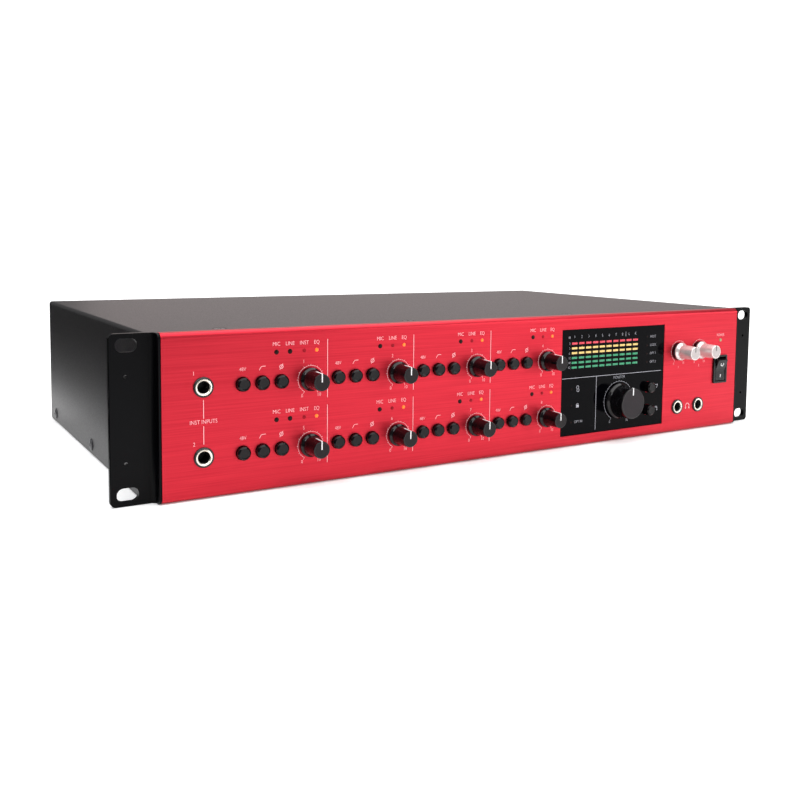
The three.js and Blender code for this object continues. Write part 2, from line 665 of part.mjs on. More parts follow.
function makeComboSocketBoard() {
  const front = SOCKET_BACK - SOCKET_DEPTH;
  const last = combos[combos.length - 1];
  const { radius, halfWidth, halfHeight } = COMBO;
  const { outer, inner, depth } = COMBO_GROOVE;
  const board = box(
    COMBO.firstX - halfWidth,
    last.x + halfWidth,
    front - BOARD,
    front + SOCKETED,
    COMBO.z - 18,
    COMBO.z + 18,
  );
  const bodies = combos.flatMap((at) => [
    block(at, halfWidth, halfHeight, front, SOCKET_BACK),
    rod(at.x, at.z, radius, SOCKET_BACK - 1, BODY_BACK + REAR_PROUD),
  ]);
  const past = BODY_BACK + REAR_PROUD + 1;
  const bores = combos.map(({ x, z }) => rod(x, z, JACK_BORE, front + 2, past, BORE_SIDES));
  const grooves = combos.map(({ x, z }) =>
    cut(
      rod(x, z, outer, BODY_BACK - depth, past, BUTTON_SIDES),
      rod(x, z, inner, BODY_BACK - depth - 1, past + 1, BUTTON_SIDES),
    ),
  );
  return cut(join(board, ...bodies), ...bores, ...grooves);
}

function makeLineOutputBoard() {
  const front = SOCKET_BACK - SOCKET_DEPTH;
  const last = outputs[outputs.length - 1];
  const { half, bush, nut } = OUTPUT;
  const board = box(
    OUTPUT.firstX - half - 2,
    last.x + half + 2,
    front - BOARD,
    front + SOCKETED,
    OUTPUT.z - 14,
    OUTPUT.z + 14,
  );
  const bodies = outputs.flatMap((at) => [
    block(at, half, half, front, SOCKET_BACK),
    rod(at.x, at.z, bush, SOCKET_BACK - 1, BODY_BACK + 1, BORE_SIDES),
    rod(at.x, at.z, nut, BODY_BACK + GAP, BODY_BACK + 2.4, 6),
  ]);
  const bores = outputs.map(({ x, z }) => rod(x, z, JACK_BORE, front + 2, BODY_BACK + 4, BORE_SIDES));
  return cut(join(board, ...bodies), ...bores);
}

// Control, optical, coaxial, clock and computer sockets on one upright board.
function makeDigitalBoard() {
  const front = SOCKET_BACK - DIGITAL_DEPTH;
  const flush = BODY_BACK + REAR_PROUD;
  const boss = SOCKET_BACK - 1;
  const board = box(14, 114, front - BOARD, front + SOCKETED, 12, 74);
  const sockets = [
    ...placesOf(CONTROL_SOCKET).flatMap((at) => [
      block(at, CONTROL_SOCKET.half, CONTROL_SOCKET.half, front, SOCKET_BACK),
      rod(at.x, at.z, CONTROL_SOCKET.radius, boss, flush),
    ]),
    ...placesOf(OPTICAL).flatMap((at) => [
      block(at, OPTICAL.half, OPTICAL.half, front, SOCKET_BACK),
      block(at, OPTICAL.mouth, OPTICAL.mouth, boss, flush),
    ]),
    ...placesOf(COAX).flatMap((at) => [
      block(at, 6.5, 8, front, SOCKET_BACK),
      rod(at.x, at.z, COAX.radius, boss, BODY_BACK + COAX.length, BORE_SIDES),
    ]),
    ...placesOf(CLOCK).flatMap((at) => [
      block(at, CLOCK.half, CLOCK.half, front, SOCKET_BACK),
      rod(at.x, at.z, CLOCK.radius, boss, BODY_BACK + CLOCK.length, BORE_SIDES),
    ]),
    block(PORT, PORT.halfWidth, PORT.halfHeight, front, flush),
  ];
  const holes = [
    ...placesOf(COAX).map(({ x, z }) => rod(x, z, 1.6, BODY_BACK - 8, BODY_BACK + 10, 6)),
    ...placesOf(CLOCK).map(({ x, z }) =>
      cut(
        rod(x, z, CLOCK.radius - 0.7, BODY_BACK, BODY_BACK + 12, BORE_SIDES),
        rod(x, z, 1, BODY_BACK - 1, BODY_BACK + 8, 6),
      ),
    ),
    block(PORT, PORT.halfWidth - 0.8, PORT.halfHeight - 1.1, BODY_BACK - 7, BODY_BACK + 2),
  ];
  return cut(join(board, ...sockets), ...holes);
}

// Mains inlet with three flat pins in a deep well.
function makeMainsInlet() {
  const { x, z, halfWidth, halfHeight, wellDepth } = INLET;
  const flangeBack = BODY_BACK + 2.8;
  const wellFront = flangeBack - wellDepth;
  const pinPlaces = [
    { x: x - 7, z: z - 1 },
    { x, z: z + 3 },
    { x: x + 7, z: z - 1 },
  ];
  const shell = cut(
    join(
      block(INLET, 25, halfHeight + 1.2, BODY_BACK + GAP, flangeBack),
      block(INLET, halfWidth, halfHeight, wellFront - 6, flangeBack - 0.5),
    ),
    block(INLET, halfWidth - 1.5, halfHeight - 2, wellFront, flangeBack + 1),
  );
  return join(shell, ...pinPlaces.map((at) => block(at, 1, 2, wellFront - 1, flangeBack - 4)));
}

// ---- Assembly ----

addPiece("fascia", makeFascia(), 0xc8303c, 0.4, 0.7);
addPiece("display_window", makeDisplayWindow(), 0x141416, 0.12, 0);
const rightEar = makeRightEar();
addPiece("right_ear", rightEar, ...BLACK_PAINT);
addPiece("left_ear", rightEar.mirror([1, 0, 0]), ...BLACK_PAINT);
addPiece("top_cover", makeTopCover(), ...BLACK_PAINT);
addPiece("chassis_tray", makeTray(), ...BLACK_PAINT);

for (const button of [...channelButtons, ...monitorButtons]) {
  addPiece(button.name, makeButton(button), ...BLACK_PLASTIC);
}
for (const knob of knobs) {
  const finish = knob.size === PHONES_KNOB ? [0xd8d8d8, 0.3, 0.9] : BLACK_PLASTIC;
  addPiece(knob.name, makeKnob(knob), ...finish);
}
for (const jack of frontJacks) {
  addPiece(jack.name, makeFrontJack(jack), ...BLACK_PLASTIC);
}
addPiece("switch_housing", makeSwitchHousing(), ...BLACK_PLASTIC);
addPiece("power_rocker", makeRocker(), ...BLACK_PLASTIC);

addPiece("control_board", makeControlBoard(), ...GREEN_BOARD);
addPiece("main_board", makeMainBoard(), ...GREEN_BOARD);
addPiece("power_supply", makePowerSupply(), ...GREEN_BOARD);
addPiece("ribbon_cable", makeRibbonCable(), 0x8f9094, 0.6, 0);
addPiece("mains_loom", makeMainsLoom(), ...BLACK_PLASTIC);

addPiece("combo_socket_board", makeComboSocketBoard(), ...BLACK_PLASTIC);
addPiece("line_output_board", makeLineOutputBoard(), ...BLACK_PLASTIC);
addPiece("digital_io_board", makeDigitalBoard(), ...BLACK_PLASTIC);
addPiece("mains_inlet", makeMainsInlet(), ...BLACK_PLASTIC);

export default group;
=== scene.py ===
"""Looks of a rack-mount audio interface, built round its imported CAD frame.

The frame is in metres: +X right, +Y back into the rack, +Z up. Shapes are in millimetres until a piece is
placed. Lights and the camera are in metres.
"""

import math

import bmesh
import bpy
from mathutils import Matrix, Vector


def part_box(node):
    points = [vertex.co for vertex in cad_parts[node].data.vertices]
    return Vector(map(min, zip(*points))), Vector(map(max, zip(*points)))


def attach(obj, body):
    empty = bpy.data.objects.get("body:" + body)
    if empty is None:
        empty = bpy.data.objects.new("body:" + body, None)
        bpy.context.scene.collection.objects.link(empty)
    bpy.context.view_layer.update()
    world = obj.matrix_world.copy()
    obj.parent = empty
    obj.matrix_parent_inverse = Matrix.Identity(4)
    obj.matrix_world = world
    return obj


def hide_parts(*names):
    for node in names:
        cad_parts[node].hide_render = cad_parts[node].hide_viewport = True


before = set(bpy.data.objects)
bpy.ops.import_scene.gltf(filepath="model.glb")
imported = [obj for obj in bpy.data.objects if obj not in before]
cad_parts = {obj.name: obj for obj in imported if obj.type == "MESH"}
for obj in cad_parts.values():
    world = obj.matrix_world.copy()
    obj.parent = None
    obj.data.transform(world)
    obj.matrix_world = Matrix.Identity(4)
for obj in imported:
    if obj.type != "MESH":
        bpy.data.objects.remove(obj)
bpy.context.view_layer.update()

MM = 0.001
ROOT = "chassis"


def box_mm(node):
    """A CAD node's lowest and highest corner, in millimetres."""
    low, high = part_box(node)
    return low / MM, high / MM


def centre_mm(node):
    """The middle of a CAD node seen from the front, as (x, z) in millimetres."""
    low, high = box_mm(node)
    return (low.x + high.x) / 2, (low.z + high.z) / 2


FACE_Y = box_mm("fascia")[0].y
GLASS_Y = box_mm("display_window")[0].y
REAR = box_mm("chassis_tray")[1].y
BODY_TOP = box_mm("top_cover")[1].z
BODY_HALF = box_mm("top_cover")[1].x
HEIGHT = box_mm("fascia")[1].z
CHANNELS = range(1, 9)
PAIR = (1, 2)
BUTTON_KINDS = ("phantom", "filter", "phase")

# ---- Finishes ----


def linear(red, green, blue):
    """An sRGB colour of 0 to 255 as the linear colour that shaders take."""
    share = [value / 255 for value in (red, green, blue)]
    return [s / 12.92 if s <= 0.04045 else ((s + 0.055) / 1.055) ** 2.4 for s in share] + [1]


NOISE_LOW, NOISE_HIGH = 0.3, 0.7  # the part of the noise that colour and roughness use


def fill(node, **values):
    """Sets a shader node's sockets by name, with _ for a space."""
    for socket, value in values.items():
        name = "Specular IOR Level" if socket == "specular" else socket.replace("_", " ")
        node.inputs[name].default_value = value
    return node


def wire(node, output, other, socket):
    """Joins a node's output to another node's socket."""
    node.id_data.links.new(node.outputs[output], other.inputs[socket])


def finish(name, dark, light, rough, grain, stretch=(1, 1, 1), bump=0.05, depth=0.02, detail=3, **more):
    """A procedural material. Its colour runs from dark to light, and its roughness over a small range, by a
    noise of `grain` features a metre, drawn out by `stretch`. The noise raises a bump `depth` mm high too."""
    material = bpy.data.materials.new(name)
    material.use_nodes = True
    nodes = material.node_tree.nodes
    shader = fill(nodes["Principled BSDF"], **more)
    where = nodes.new("ShaderNodeTexCoord")
    mapping = fill(nodes.new("ShaderNodeMapping"), Scale=stretch)
    noise = fill(nodes.new("ShaderNodeTexNoise"), Scale=grain, Detail=detail)
    wire(where, "Object", mapping, "Vector")
    wire(mapping, "Vector", noise, "Vector")

    colours = nodes.new("ShaderNodeValToRGB")
    for stop, position, colour in zip(colours.color_ramp.elements, (NOISE_LOW, NOISE_HIGH), (dark, light)):
        stop.position = position
        stop.color = linear(*colour)
    wire(noise, "Fac", colours, "Fac")
    wire(colours, "Color", shader, "Base Color")

    span = fill(nodes.new("ShaderNodeMapRange"), From_Min=NOISE_LOW, From_Max=NOISE_HIGH)
    fill(span, To_Min=rough[0], To_Max=rough[1])
    wire(noise, "Fac", span, "Value")
    wire(span, "Result", shader, "Roughness")

    relief = fill(nodes.new("ShaderNodeBump"), Strength=bump, Distance=depth * MM)
    wire(noise, "Fac", relief, "Height")
    wire(relief, "Normal", shader, "Normal")
    return material


def lamp_finish(name, colour, strength):
    """A lit lens that glows in its own colour."""
    glow = {"Emission_Color": linear(*colour), "Emission_Strength": strength}
    return finish(name, [c * 0.8 for c in colour], colour, (0.2, 0.3), 900, **glow)


BRUSHED = (18, 18, 1400)  # streaks along X: the noise changes fast only along Z
ANODISED = {"Metallic": 1, "Coat_Weight": 0.05, "Coat_Roughness": 0.12}
RED = finish("brushed_red", (174, 36, 49), (193, 45, 58), (0.38, 0.45), 1, BRUSHED, 0.08, 0.02, 5, **ANODISED)
PAINT = finish("black_powder_coat", (21, 19, 21), (29, 27, 29), (0.32, 0.42), 1600, bump=0.25, specular=0.25)
EAR_PAINT = finish("black_satin_paint", (2, 2, 3), (4, 4, 6), (0.28, 0.36), 1800, bump=0.12, specular=0.08)
GLOSS = finish("black_gloss_acrylic", (2, 2, 4), (4, 4, 6), (0.03, 0.06), 300, bump=0.02, specular=0.04)
BUTTON = finish("black_button_plastic", (6, 4, 6), (9, 7, 9), (0.09, 0.15), 2200, bump=0.06, specular=0.2)
KNOB = finish("black_knob_gloss", (6, 5, 7), (9, 8, 10), (0.1, 0.16), 1500, bump=0.06, specular=0.32)
KNOB_FACE = finish("black_knob_face", (17, 12, 14), (23, 17, 19), (0.4, 0.5), 2500, bump=0.2, specular=0.2)
WIDE_FACE = finish("dark_knob_face", (24, 18, 22), (31, 24, 29), (0.4, 0.5), 2500, bump=0.2, specular=0.2)
TURNED = (150, 2500, 150)  # fine rings round a knob's axis
SILVER = finish(
    "turned_silver", (216, 208, 206), (224, 217, 215), (0.27, 0.31), 1, TURNED, 0.02, 0.01, Metallic=0.6
)
SILVER_FACE = finish("spun_silver", (164, 156, 155), (178, 170, 169), (0.34, 0.42), 900, Metallic=0.6)
POINTER = finish("white_pointer_ink", (226, 226, 226), (240, 240, 240), (0.4, 0.5), 900)
DARK_INK = finish("black_pointer_ink", (22, 22, 22), (34, 34, 34), (0.4, 0.5), 900)
PRINT = finish("pale_printed_ink", (236, 176, 182), (244, 194, 198), (0.5, 0.6), 1200)
GREY_PRINT = finish("grey_printed_ink", (150, 150, 158), (174, 174, 182), (0.5, 0.6), 1200)
BUSH = finish("dull_nickel", (226, 220, 206), (240, 234, 222), (0.22, 0.32), 700, Metallic=0.75)
CHROME = finish("nickel_plate", (196, 194, 188), (226, 224, 218), (0.14, 0.26), 700, Metallic=1)
BRASS = finish("contact_metal", (128, 112, 80), (150, 134, 98), (0.3, 0.4), 700, Metallic=1)
JACK = finish("black_jack_plastic", (16, 15, 16), (24, 23, 24), (0.35, 0.5), 1800, bump=0.15)
# Painted shade: a black darker than the sockets' own plastic, for the insides of bores and barrels where
# shade falls.
BORE_SHADE = finish("painted_bore_shade", (5, 5, 6), (9, 9, 10), (0.6, 0.8), 900, bump=0.1)
FLAG = finish("black_flag", (1, 1, 1), (2, 2, 2), (0.9, 1), 50, bump=0.02, specular=0)
SWITCH = finish(
    "black_rocker_plastic", (11, 10, 12), (17, 16, 18), (0.24, 0.34), 1800, bump=0.1, specular=0.25
)
SCREW = finish("black_zinc_screw", (58, 58, 60), (78, 78, 80), (0.26, 0.38), 1500, bump=0.1, Metallic=0.6)
INSULATOR = finish("white_insulator", (214, 210, 200), (232, 228, 218), (0.4, 0.5), 900, bump=0.1)
BOARD = finish("green_solder_mask", (20, 74, 44), (30, 98, 60), (0.35, 0.5), 500, bump=0.2)
RIBBON = finish("grey_ribbon", (138, 140, 146), (164, 166, 170), (0.5, 0.6), 1, (1600, 30, 30), 0.4, 0.1)
LOOM = finish("black_insulation", (16, 16, 16), (26, 26, 26), (0.5, 0.65), 900, bump=0.2)
AMBER_LIT = lamp_finish("amber_light", (250, 106, 20), 0.75)
UNLIT = finish("smoked_lens", (26, 8, 6), (36, 12, 9), (0.15, 0.25), 900, specular=0.1)
UNLIT_RED = finish("dull_red_lens", (132, 14, 28), (150, 20, 34), (0.4, 0.5), 900, specular=0.1)
POWER_LENS = finish("pale_green_lens", (120, 112, 72), (150, 142, 96), (0.15, 0.25), 900)
METER_RED = lamp_finish("meter_red", (206, 46, 66), 0.35)
METER_YELLOW = lamp_finish("meter_yellow", (218, 186, 108), 0.3)
METER_GREEN = lamp_finish("meter_green", (26, 136, 92), 0.25)

# ---- Shapes, in millimetres ----

PRINT_RISE = 0.04  # thickness of printed ink
CAP_SHARE = 0.69  # height of a capital letter in the built-in font, as a share of the font size
SQUEEZE = 0.86  # width of the lettering, as a share of the font's own
THINNER = -0.04  # how far the lettering's outlines are moved out
KEPT_SHARE = 0.49  # most of an outline's side that one rounding may take
POINT_RADIUS = 1e-4  # a smaller radius than this is a point on the axis
SWEEP = 150  # how far a knob turns each way, in degrees
SCALE_STEPS = 30
AXES = {"X": lambda u, v, w: (w, u, v), "Y": lambda u, v, w: (u, w, v), "Z": lambda u, v, w: (u, v, w)}


def rotation(degrees, axis):
    return Matrix.Rotation(math.radians(degrees), 4, axis)


def moved(shape, matrix):
    bmesh.ops.transform(shape, matrix=matrix, verts=shape.verts)
    return shape


def rounded(points, steps=4, closed=False):
    """A polyline of (u, v) or (u, v, radius). Each point with a radius becomes an arc."""
    line = []
    for i, point in enumerate(points):
        here = Vector(point[:2])
        ends = not closed and i in (0, len(points) - 1)
        if len(point) < 3 or ends:
            line.append(here)
            continue
        before = Vector(points[i - 1][:2]) - here
        after = Vector(points[(i + 1) % len(points)][:2]) - here
        half = before.angle(after) / 2
        reach = min(point[2] / math.tan(half), KEPT_SHARE * before.length, KEPT_SHARE * after.length)
        bisector = (before.normalized() + after.normalized()).normalized()
        middle = here + bisector * reach / math.cos(half)
        first = here + before.normalized() * reach - middle
        last = here + after.normalized() * reach - middle
        start = math.atan2(first.y, first.x)
        sweep = math.remainder(math.atan2(last.y, last.x) - start, 2 * math.pi)
        for k in range(steps + 1):
            angle = start + sweep * k / steps
            line.append(middle + first.length * Vector((math.cos(angle), math.sin(angle))))
    return line


def turned(x, z, profile, sides=48, closed=False):
    """A shape turned about a line along Y. The profile is a list of (radius, y)."""
    shape = bmesh.new()
    rings = []
    for radius, y in profile:
        if radius < POINT_RADIUS:
            rings.append([shape.verts.new((x, y, z))])
            continue
        angles = [2 * math.pi * i / sides for i in range(sides)]
        places = [(x + radius * math.cos(a), y, z + radius * math.sin(a)) for a in angles]
        rings.append([shape.verts.new(place) for place in places])
    followers = rings[1:] + ([rings[0]] if closed else [])
    for near, far in zip(rings, followers):
        for i in range(sides):
            j = (i + 1) % sides
            corners = [near[i % len(near)], near[j % len(near)], far[j % len(far)], far[i % len(far)]]
            shape.faces.new(list(dict.fromkeys(corners)))
    bmesh.ops.recalc_face_normals(shape, faces=shape.faces)
    return shape


def rod(x, z, radius, start, end, sides=48):
    """A plain round bar along Y, from y = start to y = end."""
    return turned(x, z, [(0, start), (radius, start), (radius, end), (0, end)], sides)


def break_edges(shape, edges, size, steps):
    bmesh.ops.bevel(
        shape, geom=edges, offset=size, segments=steps, profile=0.5, affect="EDGES", clamp_overlap=True
    )


def bar(outline, start, end, axis="Y", edge=0, steps=2):
    """An outline drawn out along an axis, with its end rims broken by `edge`. The outline is in the other
    two axes, in alphabetical order."""
    place = AXES[axis]
    shape = bmesh.new()
    near = [shape.verts.new(place(u, v, start)) for u, v in outline]
    far = [shape.verts.new(place(u, v, end)) for u, v in outline]
    caps = [shape.faces.new(near), shape.faces.new(far)]
    for i in range(len(near)):
        j = (i + 1) % len(near)
        shape.faces.new((near[i], near[j], far[j], far[i]))
    bmesh.ops.recalc_face_normals(shape, faces=shape.faces)
    if edge:
        break_edges(shape, list({rim for cap in caps for rim in cap.edges}), edge, steps)
    return shape


def block(x0, x1, y0, y1, z0, z1, edge=0.3, steps=2):
    """A box with all of its edges broken."""
    shape = bmesh.new()
    bmesh.ops.create_cube(shape, size=1)
    for vertex in shape.verts:
        vertex.co.x = x1 if vertex.co.x > 0 else x0
        vertex.co.y = y1 if vertex.co.y > 0 else y0
        vertex.co.z = z1 if vertex.co.z > 0 else z0
    break_edges(shape, shape.edges[:], edge, steps)
    return shape


def rectangle(x, z, half_width, half_height, radius, steps=5):
    """The outline of a rectangle with round corners."""
    signs = [(-1, -1), (1, -1), (1, 1), (-1, 1)]
    corners = [(x + i * half_width, z + k * half_height, radius) for i, k in signs]
    return rounded(corners, steps, closed=True)


def box_outline(low, high, radius, margin=0):
    """The outline of a box seen from the front, widened by a margin."""
    half_width, half_height = (high.x - low.x) / 2 + margin, (high.z - low.z) / 2 + margin
    return rectangle((low.x + high.x) / 2, (low.z + high.z) / 2, half_width, half_height, radius)


def stroke(points, width, front, back, closed=False):
    """A flat ribbon of that width along points in X and Z, from y = front to y = back."""
    line = [Vector(point) for point in points]
    count = len(line)
    shape = bmesh.new()
    sections = []
    for i, here in enumerate(line):
        before = line[i - 1] if closed or i else here
        after = line[(i + 1) % count] if closed or i + 1 < count else here
        into = (here - before).normalized() if before != here else (after - here).normalized()
        out = (after - here).normalized() if after != here else into
        along = (into + out).normalized()
        side = Vector((-along.y, along.x)) * width / 2 / max(0.5, along.dot(out))
        corners = [(here + side, front), (here - side, front), (here - side, back), (here + side, back)]
        sections.append([shape.verts.new((p.x, y, p.y)) for p, y in corners])
    followers = sections[1:] + (sections[:1] if closed else [])
    for near, far in zip(sections, followers):
        for k in range(4):
            m = (k + 1) % 4
            shape.faces.new((near[k], near[m], far[m], far[k]))
    if not closed:
        shape.faces.new(sections[0])
        shape.faces.new(sections[-1])
    bmesh.ops.recalc_face_normals(shape, faces=shape.faces)
    return shape


def around(x, z, radius, degrees):
    """A point on a circle, by its angle clockwise from 12 o'clock."""
    angle = math.radians(degrees)
    return x + radius * math.sin(angle), z + radius * math.cos(angle)


def arc(x, z, radius, start, end, steps=40):
    """Points on an arc, with angles in degrees clockwise from 12 o'clock."""
    return [around(x, z, radius, start + (end - start) * i / steps) for i in range(steps + 1)]


def ring(x, z, radius):
    """Points of a small closed circle."""
    return arc(x, z, radius, 0, 345, 23)


def add_object(name, data):
    thing = bpy.data.objects.new(name, data)
    bpy.context.scene.collection.objects.link(thing)
    return thing


def evaluated(thing):
    """The shape of an object after its modifiers."""
    mesh = bpy.data.meshes.new_from_object(thing.evaluated_get(bpy.context.evaluated_depsgraph_get()))
    shape = bmesh.new()
    shape.from_mesh(mesh)
    bpy.data.meshes.remove(mesh)
    return shape


def as_object(shape, name="shape"):
    """A shape as an object of the scene. It is used up."""
    mesh = bpy.data.meshes.new(name)
    shape.to_mesh(mesh)
    shape.free()
    return add_object(name, mesh)


def merge(shape, whole):
    """Adds a shape to a larger one. It is used up."""
    mesh = bpy.data.meshes.new("shape")
    shape.to_mesh(mesh)
    shape.free()
    whole.from_mesh(mesh)
    bpy.data.meshes.remove(mesh)


def carved(blank, cutters, edge=0):
    """The blank less the cutters. Its sharp edges are then broken by `edge`."""
    body = as_object(blank)
    whole = bmesh.new()
    for cutter in cutters:
        merge(cutter, whole)
    tool = as_object(whole)
    if cutters:
        cut = body.modifiers.new("cut", "BOOLEAN")
        cut.operation = "DIFFERENCE"
        cut.solver = "EXACT"
        cut.object = tool
    if edge:
        broken = body.modifiers.new("edge", "BEVEL")
        broken.width = edge
        broken.segments = 2
        broken.limit_method = "ANGLE"
        broken.angle_limit = math.radians(35)
    shape = evaluated(body)
    for thing in (body, tool):
        bpy.data.objects.remove(thing)
    return shape


class Piece:
    """One object, gathered from closed shapes that each have a finish."""

    def __init__(self):
        self.shape = bmesh.new()
        self.finishes = []

    def add(self, shape, material):
        if material not in self.finishes:
            self.finishes.append(material)
        index = self.finishes.index(material)
        for face in shape.faces:
            face.material_index = index
        merge(shape, self.shape)
        return self

    def place(self, name, body=ROOT, replaces=(), slot=None):
        """Scales the piece to metres, smooths it and lets it ride on a body."""
        piece = as_object(self.shape, name)
        mesh = piece.data
        mesh.transform(Matrix.Scale(MM, 4))
        for material in self.finishes:
            mesh.materials.append(material)
        mesh.polygons.foreach_set("use_smooth", [True] * len(mesh.polygons))
        mesh.set_sharp_from_angle(angle=math.radians(32))
        # Shading follows the large faces, so it stays flat up to a rounded rim.
        shading = piece.modifiers.new("shading", "WEIGHTED_NORMAL")
        shading.weight = 80
        shading.keep_sharp = True
        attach(piece, body)
        if replaces:
            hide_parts(*replaces)


class Print(Piece):
    """Raised ink on a face at y = surface, which looks along -Y (facing -1) or +Y (facing 1)."""

    def __init__(self, surface, ink, height, facing=-1):
        super().__init__()
        self.surface, self.ink, self.height, self.facing = surface, ink, height, facing
        self.front, self.back = surface - PRINT_RISE, surface + PRINT_RISE

    def line(self, points, width=0.32, closed=False):
        self.add(stroke(points, width, self.front, self.back, closed), self.ink)

    def words(self, text, x, z, height=None, align="CENTER"):
        """Thin raised generic words and numbers."""
        curve = bpy.data.curves.new("lettering", "FONT")
        curve.body = text
        curve.size = (height or self.height) / CAP_SHARE
        curve.align_x = align
        curve.align_y = "CENTER"
        curve.resolution_u = 3
        curve.offset = THINNER
        curve.extrude = PRINT_RISE / 2
        letters = add_object("lettering", curve)
        upright = rotation(90, "X") @ Matrix.Diagonal((SQUEEZE, 1, 1, 1))
        if self.facing > 0:
            upright = rotation(180, "Z") @ upright
        middle = (x, self.surface + self.facing * PRINT_RISE / 2, z)
        shape = moved(evaluated(letters), Matrix.Translation(middle) @ upright)
        bmesh.ops.remove_doubles(shape, verts=shape.verts, dist=1e-5)
        bpy.data.objects.remove(letters)
        bpy.data.curves.remove(curve)
        self.add(shape, self.ink)

    def scale(self, x, z, radius, tick, width=0.2):
        """A dial's scale: a fine line, a tick at each number, two finer between, long ones at the ends."""
        self.line(arc(x, z, radius, -SWEEP, SWEEP), 0.8 * width)
        for step in range(SCALE_STEPS + 1):
            angle = -SWEEP + 2 * SWEEP * step / SCALE_STEPS
            reach = tick * (1.8 if step in (0, SCALE_STEPS) else 1 if step % 3 == 0 else 0.5)
            ends = (around(x, z, radius, angle), around(x, z, radius + reach, angle))
            self.add(stroke(ends, width, self.front - 0.005, self.back), self.ink)


# ---- Fascia ----

BUTTON_HOLE = 4
SHAFT_HOLE = 3.5
JACK_HOLE = 5.1
HIDDEN_HOLE = 5  # behind the window, wider than the window's own holes
WINDOW_CORNER = 0.4


def make_fascia():
    low, high = box_mm("fascia")
    wall, lip = 3, 2.5
    inner = low.y + wall
    section = [
        (high.y, 0, 0.2), (low.y, 0, 3), (low.y, HEIGHT, 3), (high.y, HEIGHT, 0.2), (high.y, HEIGHT - lip),
        (inner, HEIGHT - lip), (inner, lip), (high.y, lip),
    ]
    blank = bar(rounded(section, 10, closed=True), low.x, high.x, "X")
    front, through, pocket = low.y - 1, inner + 1, low.y + 2
    cutters = [bar(box_outline(*box_mm("display_window"), WINDOW_CORNER, 0.3), front, pocket)]

    def hole(node, radius, start=front):
        cutters.append(rod(*centre_mm(node), radius, start, through))

    for n in CHANNELS:
        for kind in BUTTON_KINDS:
            hole(f"{kind}_button_{n}", BUTTON_HOLE)
        hole(f"gain_knob_{n}", SHAFT_HOLE)
    for n in PAIR:
        hole(f"phones_knob_{n}", SHAFT_HOLE)
        hole(f"phones_jack_{n}", JACK_HOLE)
        hole(f"instrument_jack_{n}", JACK_HOLE)
    for node in ("monitor_knob", "dim_button", "mute_button"):
        hole(node, HIDDEN_HOLE, pocket - 0.5)
    cutters.append(bar(rectangle(*centre_mm("switch_housing"), 6.7, 10.2, 0.3), front, through))
    panel = Piece().add(carved(blank, cutters, 0.2), RED)
    panel.place("fascia_panel", ROOT, ["fascia"], "fascia_red")


make_fascia()


def make_window():
    low, high = box_mm("display_window")
    cutters = []
    for node in ("monitor_knob", "dim_button", "mute_button"):
        radius = SHAFT_HOLE if "knob" in node else BUTTON_HOLE
        cutters.append(rod(*centre_mm(node), radius, low.y - 1, high.y + 1))
    blank = bar(box_outline(low, high, WINDOW_CORNER), low.y, high.y)
    glass = Piece().add(carved(blank, cutters, 0.15), GLOSS)
    glass.place("display_glass", ROOT, ["display_window"], "display_gloss")


make_window()

# ---- Printing and lights on the fascia ----

LAMP_RADIUS = 1.05
DARK_LAMP_RADIUS = 1.35
WORD_RISE, LAMP_RISE = 20.4, 16.1  # heights over a channel's knob
# Input lights as (word, place beside the knob). Channels 1 and 5 also take an instrument.
INPUTS = [("MIC", -12.4), ("LINE", -4.1)]
INSTRUMENT_INPUTS = [("MIC", -20.2), ("LINE", -12.3), ("INST", -3.9)]
EQ_PLACE = 3.6


def lens(piece, x, z, surface_y, material, radius=LAMP_RADIUS, rise=0.35):
    """A small domed lens with its edge let into the face."""
    back = surface_y + 0.5
    dome = [(0, surface_y - rise), (radius, surface_y - rise * 0.7, 0.3), (radius, back)]
    piece.add(turned(x, z, rounded(dome, 3) + [Vector((0, back))], 24), material)


def print_channel(ink, lights, n):
    x, z = centre_mm(f"gain_knob_{n}")
    ink.scale(x, z, 7.6, 0.7)
    ink.words(str(n), x - 4.2, z + 10, 1.9)
    ink.words("0", x - 5.2, z - 8.9, 1.9)
    ink.words("10", x + 5, z - 8.9, 1.9)
    inputs = INSTRUMENT_INPUTS if n in (1, 5) else INPUTS
    for word, dx in inputs:
        ink.words(word, x + dx, z + WORD_RISE)
        last = word == inputs[-1][0]
        look = (UNLIT_RED, LAMP_RADIUS) if last else (UNLIT, DARK_LAMP_RADIUS)
        lens(lights, x + dx, z + LAMP_RISE, FACE_Y, *look)
    ink.words("EQ", x + EQ_PLACE, z + WORD_RISE)
    lens(lights, x + EQ_PLACE, z + LAMP_RISE, FACE_Y, AMBER_LIT)

    bx, bz = centre_mm(f"phantom_button_{n}")
    ink.words("48V", bx, bz + 7.9, 1.9)
    bx, bz = centre_mm(f"filter_button_{n}")
    ink.line(rounded([(bx - 1.7, bz + 6.9), (bx - 0.6, bz + 8.9, 1.2), (bx + 1.8, bz + 8.9)], 4), 0.27)
    bx, bz = centre_mm(f"phase_button_{n}")
    ink.line(ring(bx, bz + 8, 1), 0.3, closed=True)
    ink.line([(bx - 0.9, bz + 6.4), (bx + 0.9, bz + 9.6)], 0.3)
    if n not in (4, 8):
        ink.line([(x + 10.2, z - 10.9), (x + 10.2, z + 21.8)], 0.3)


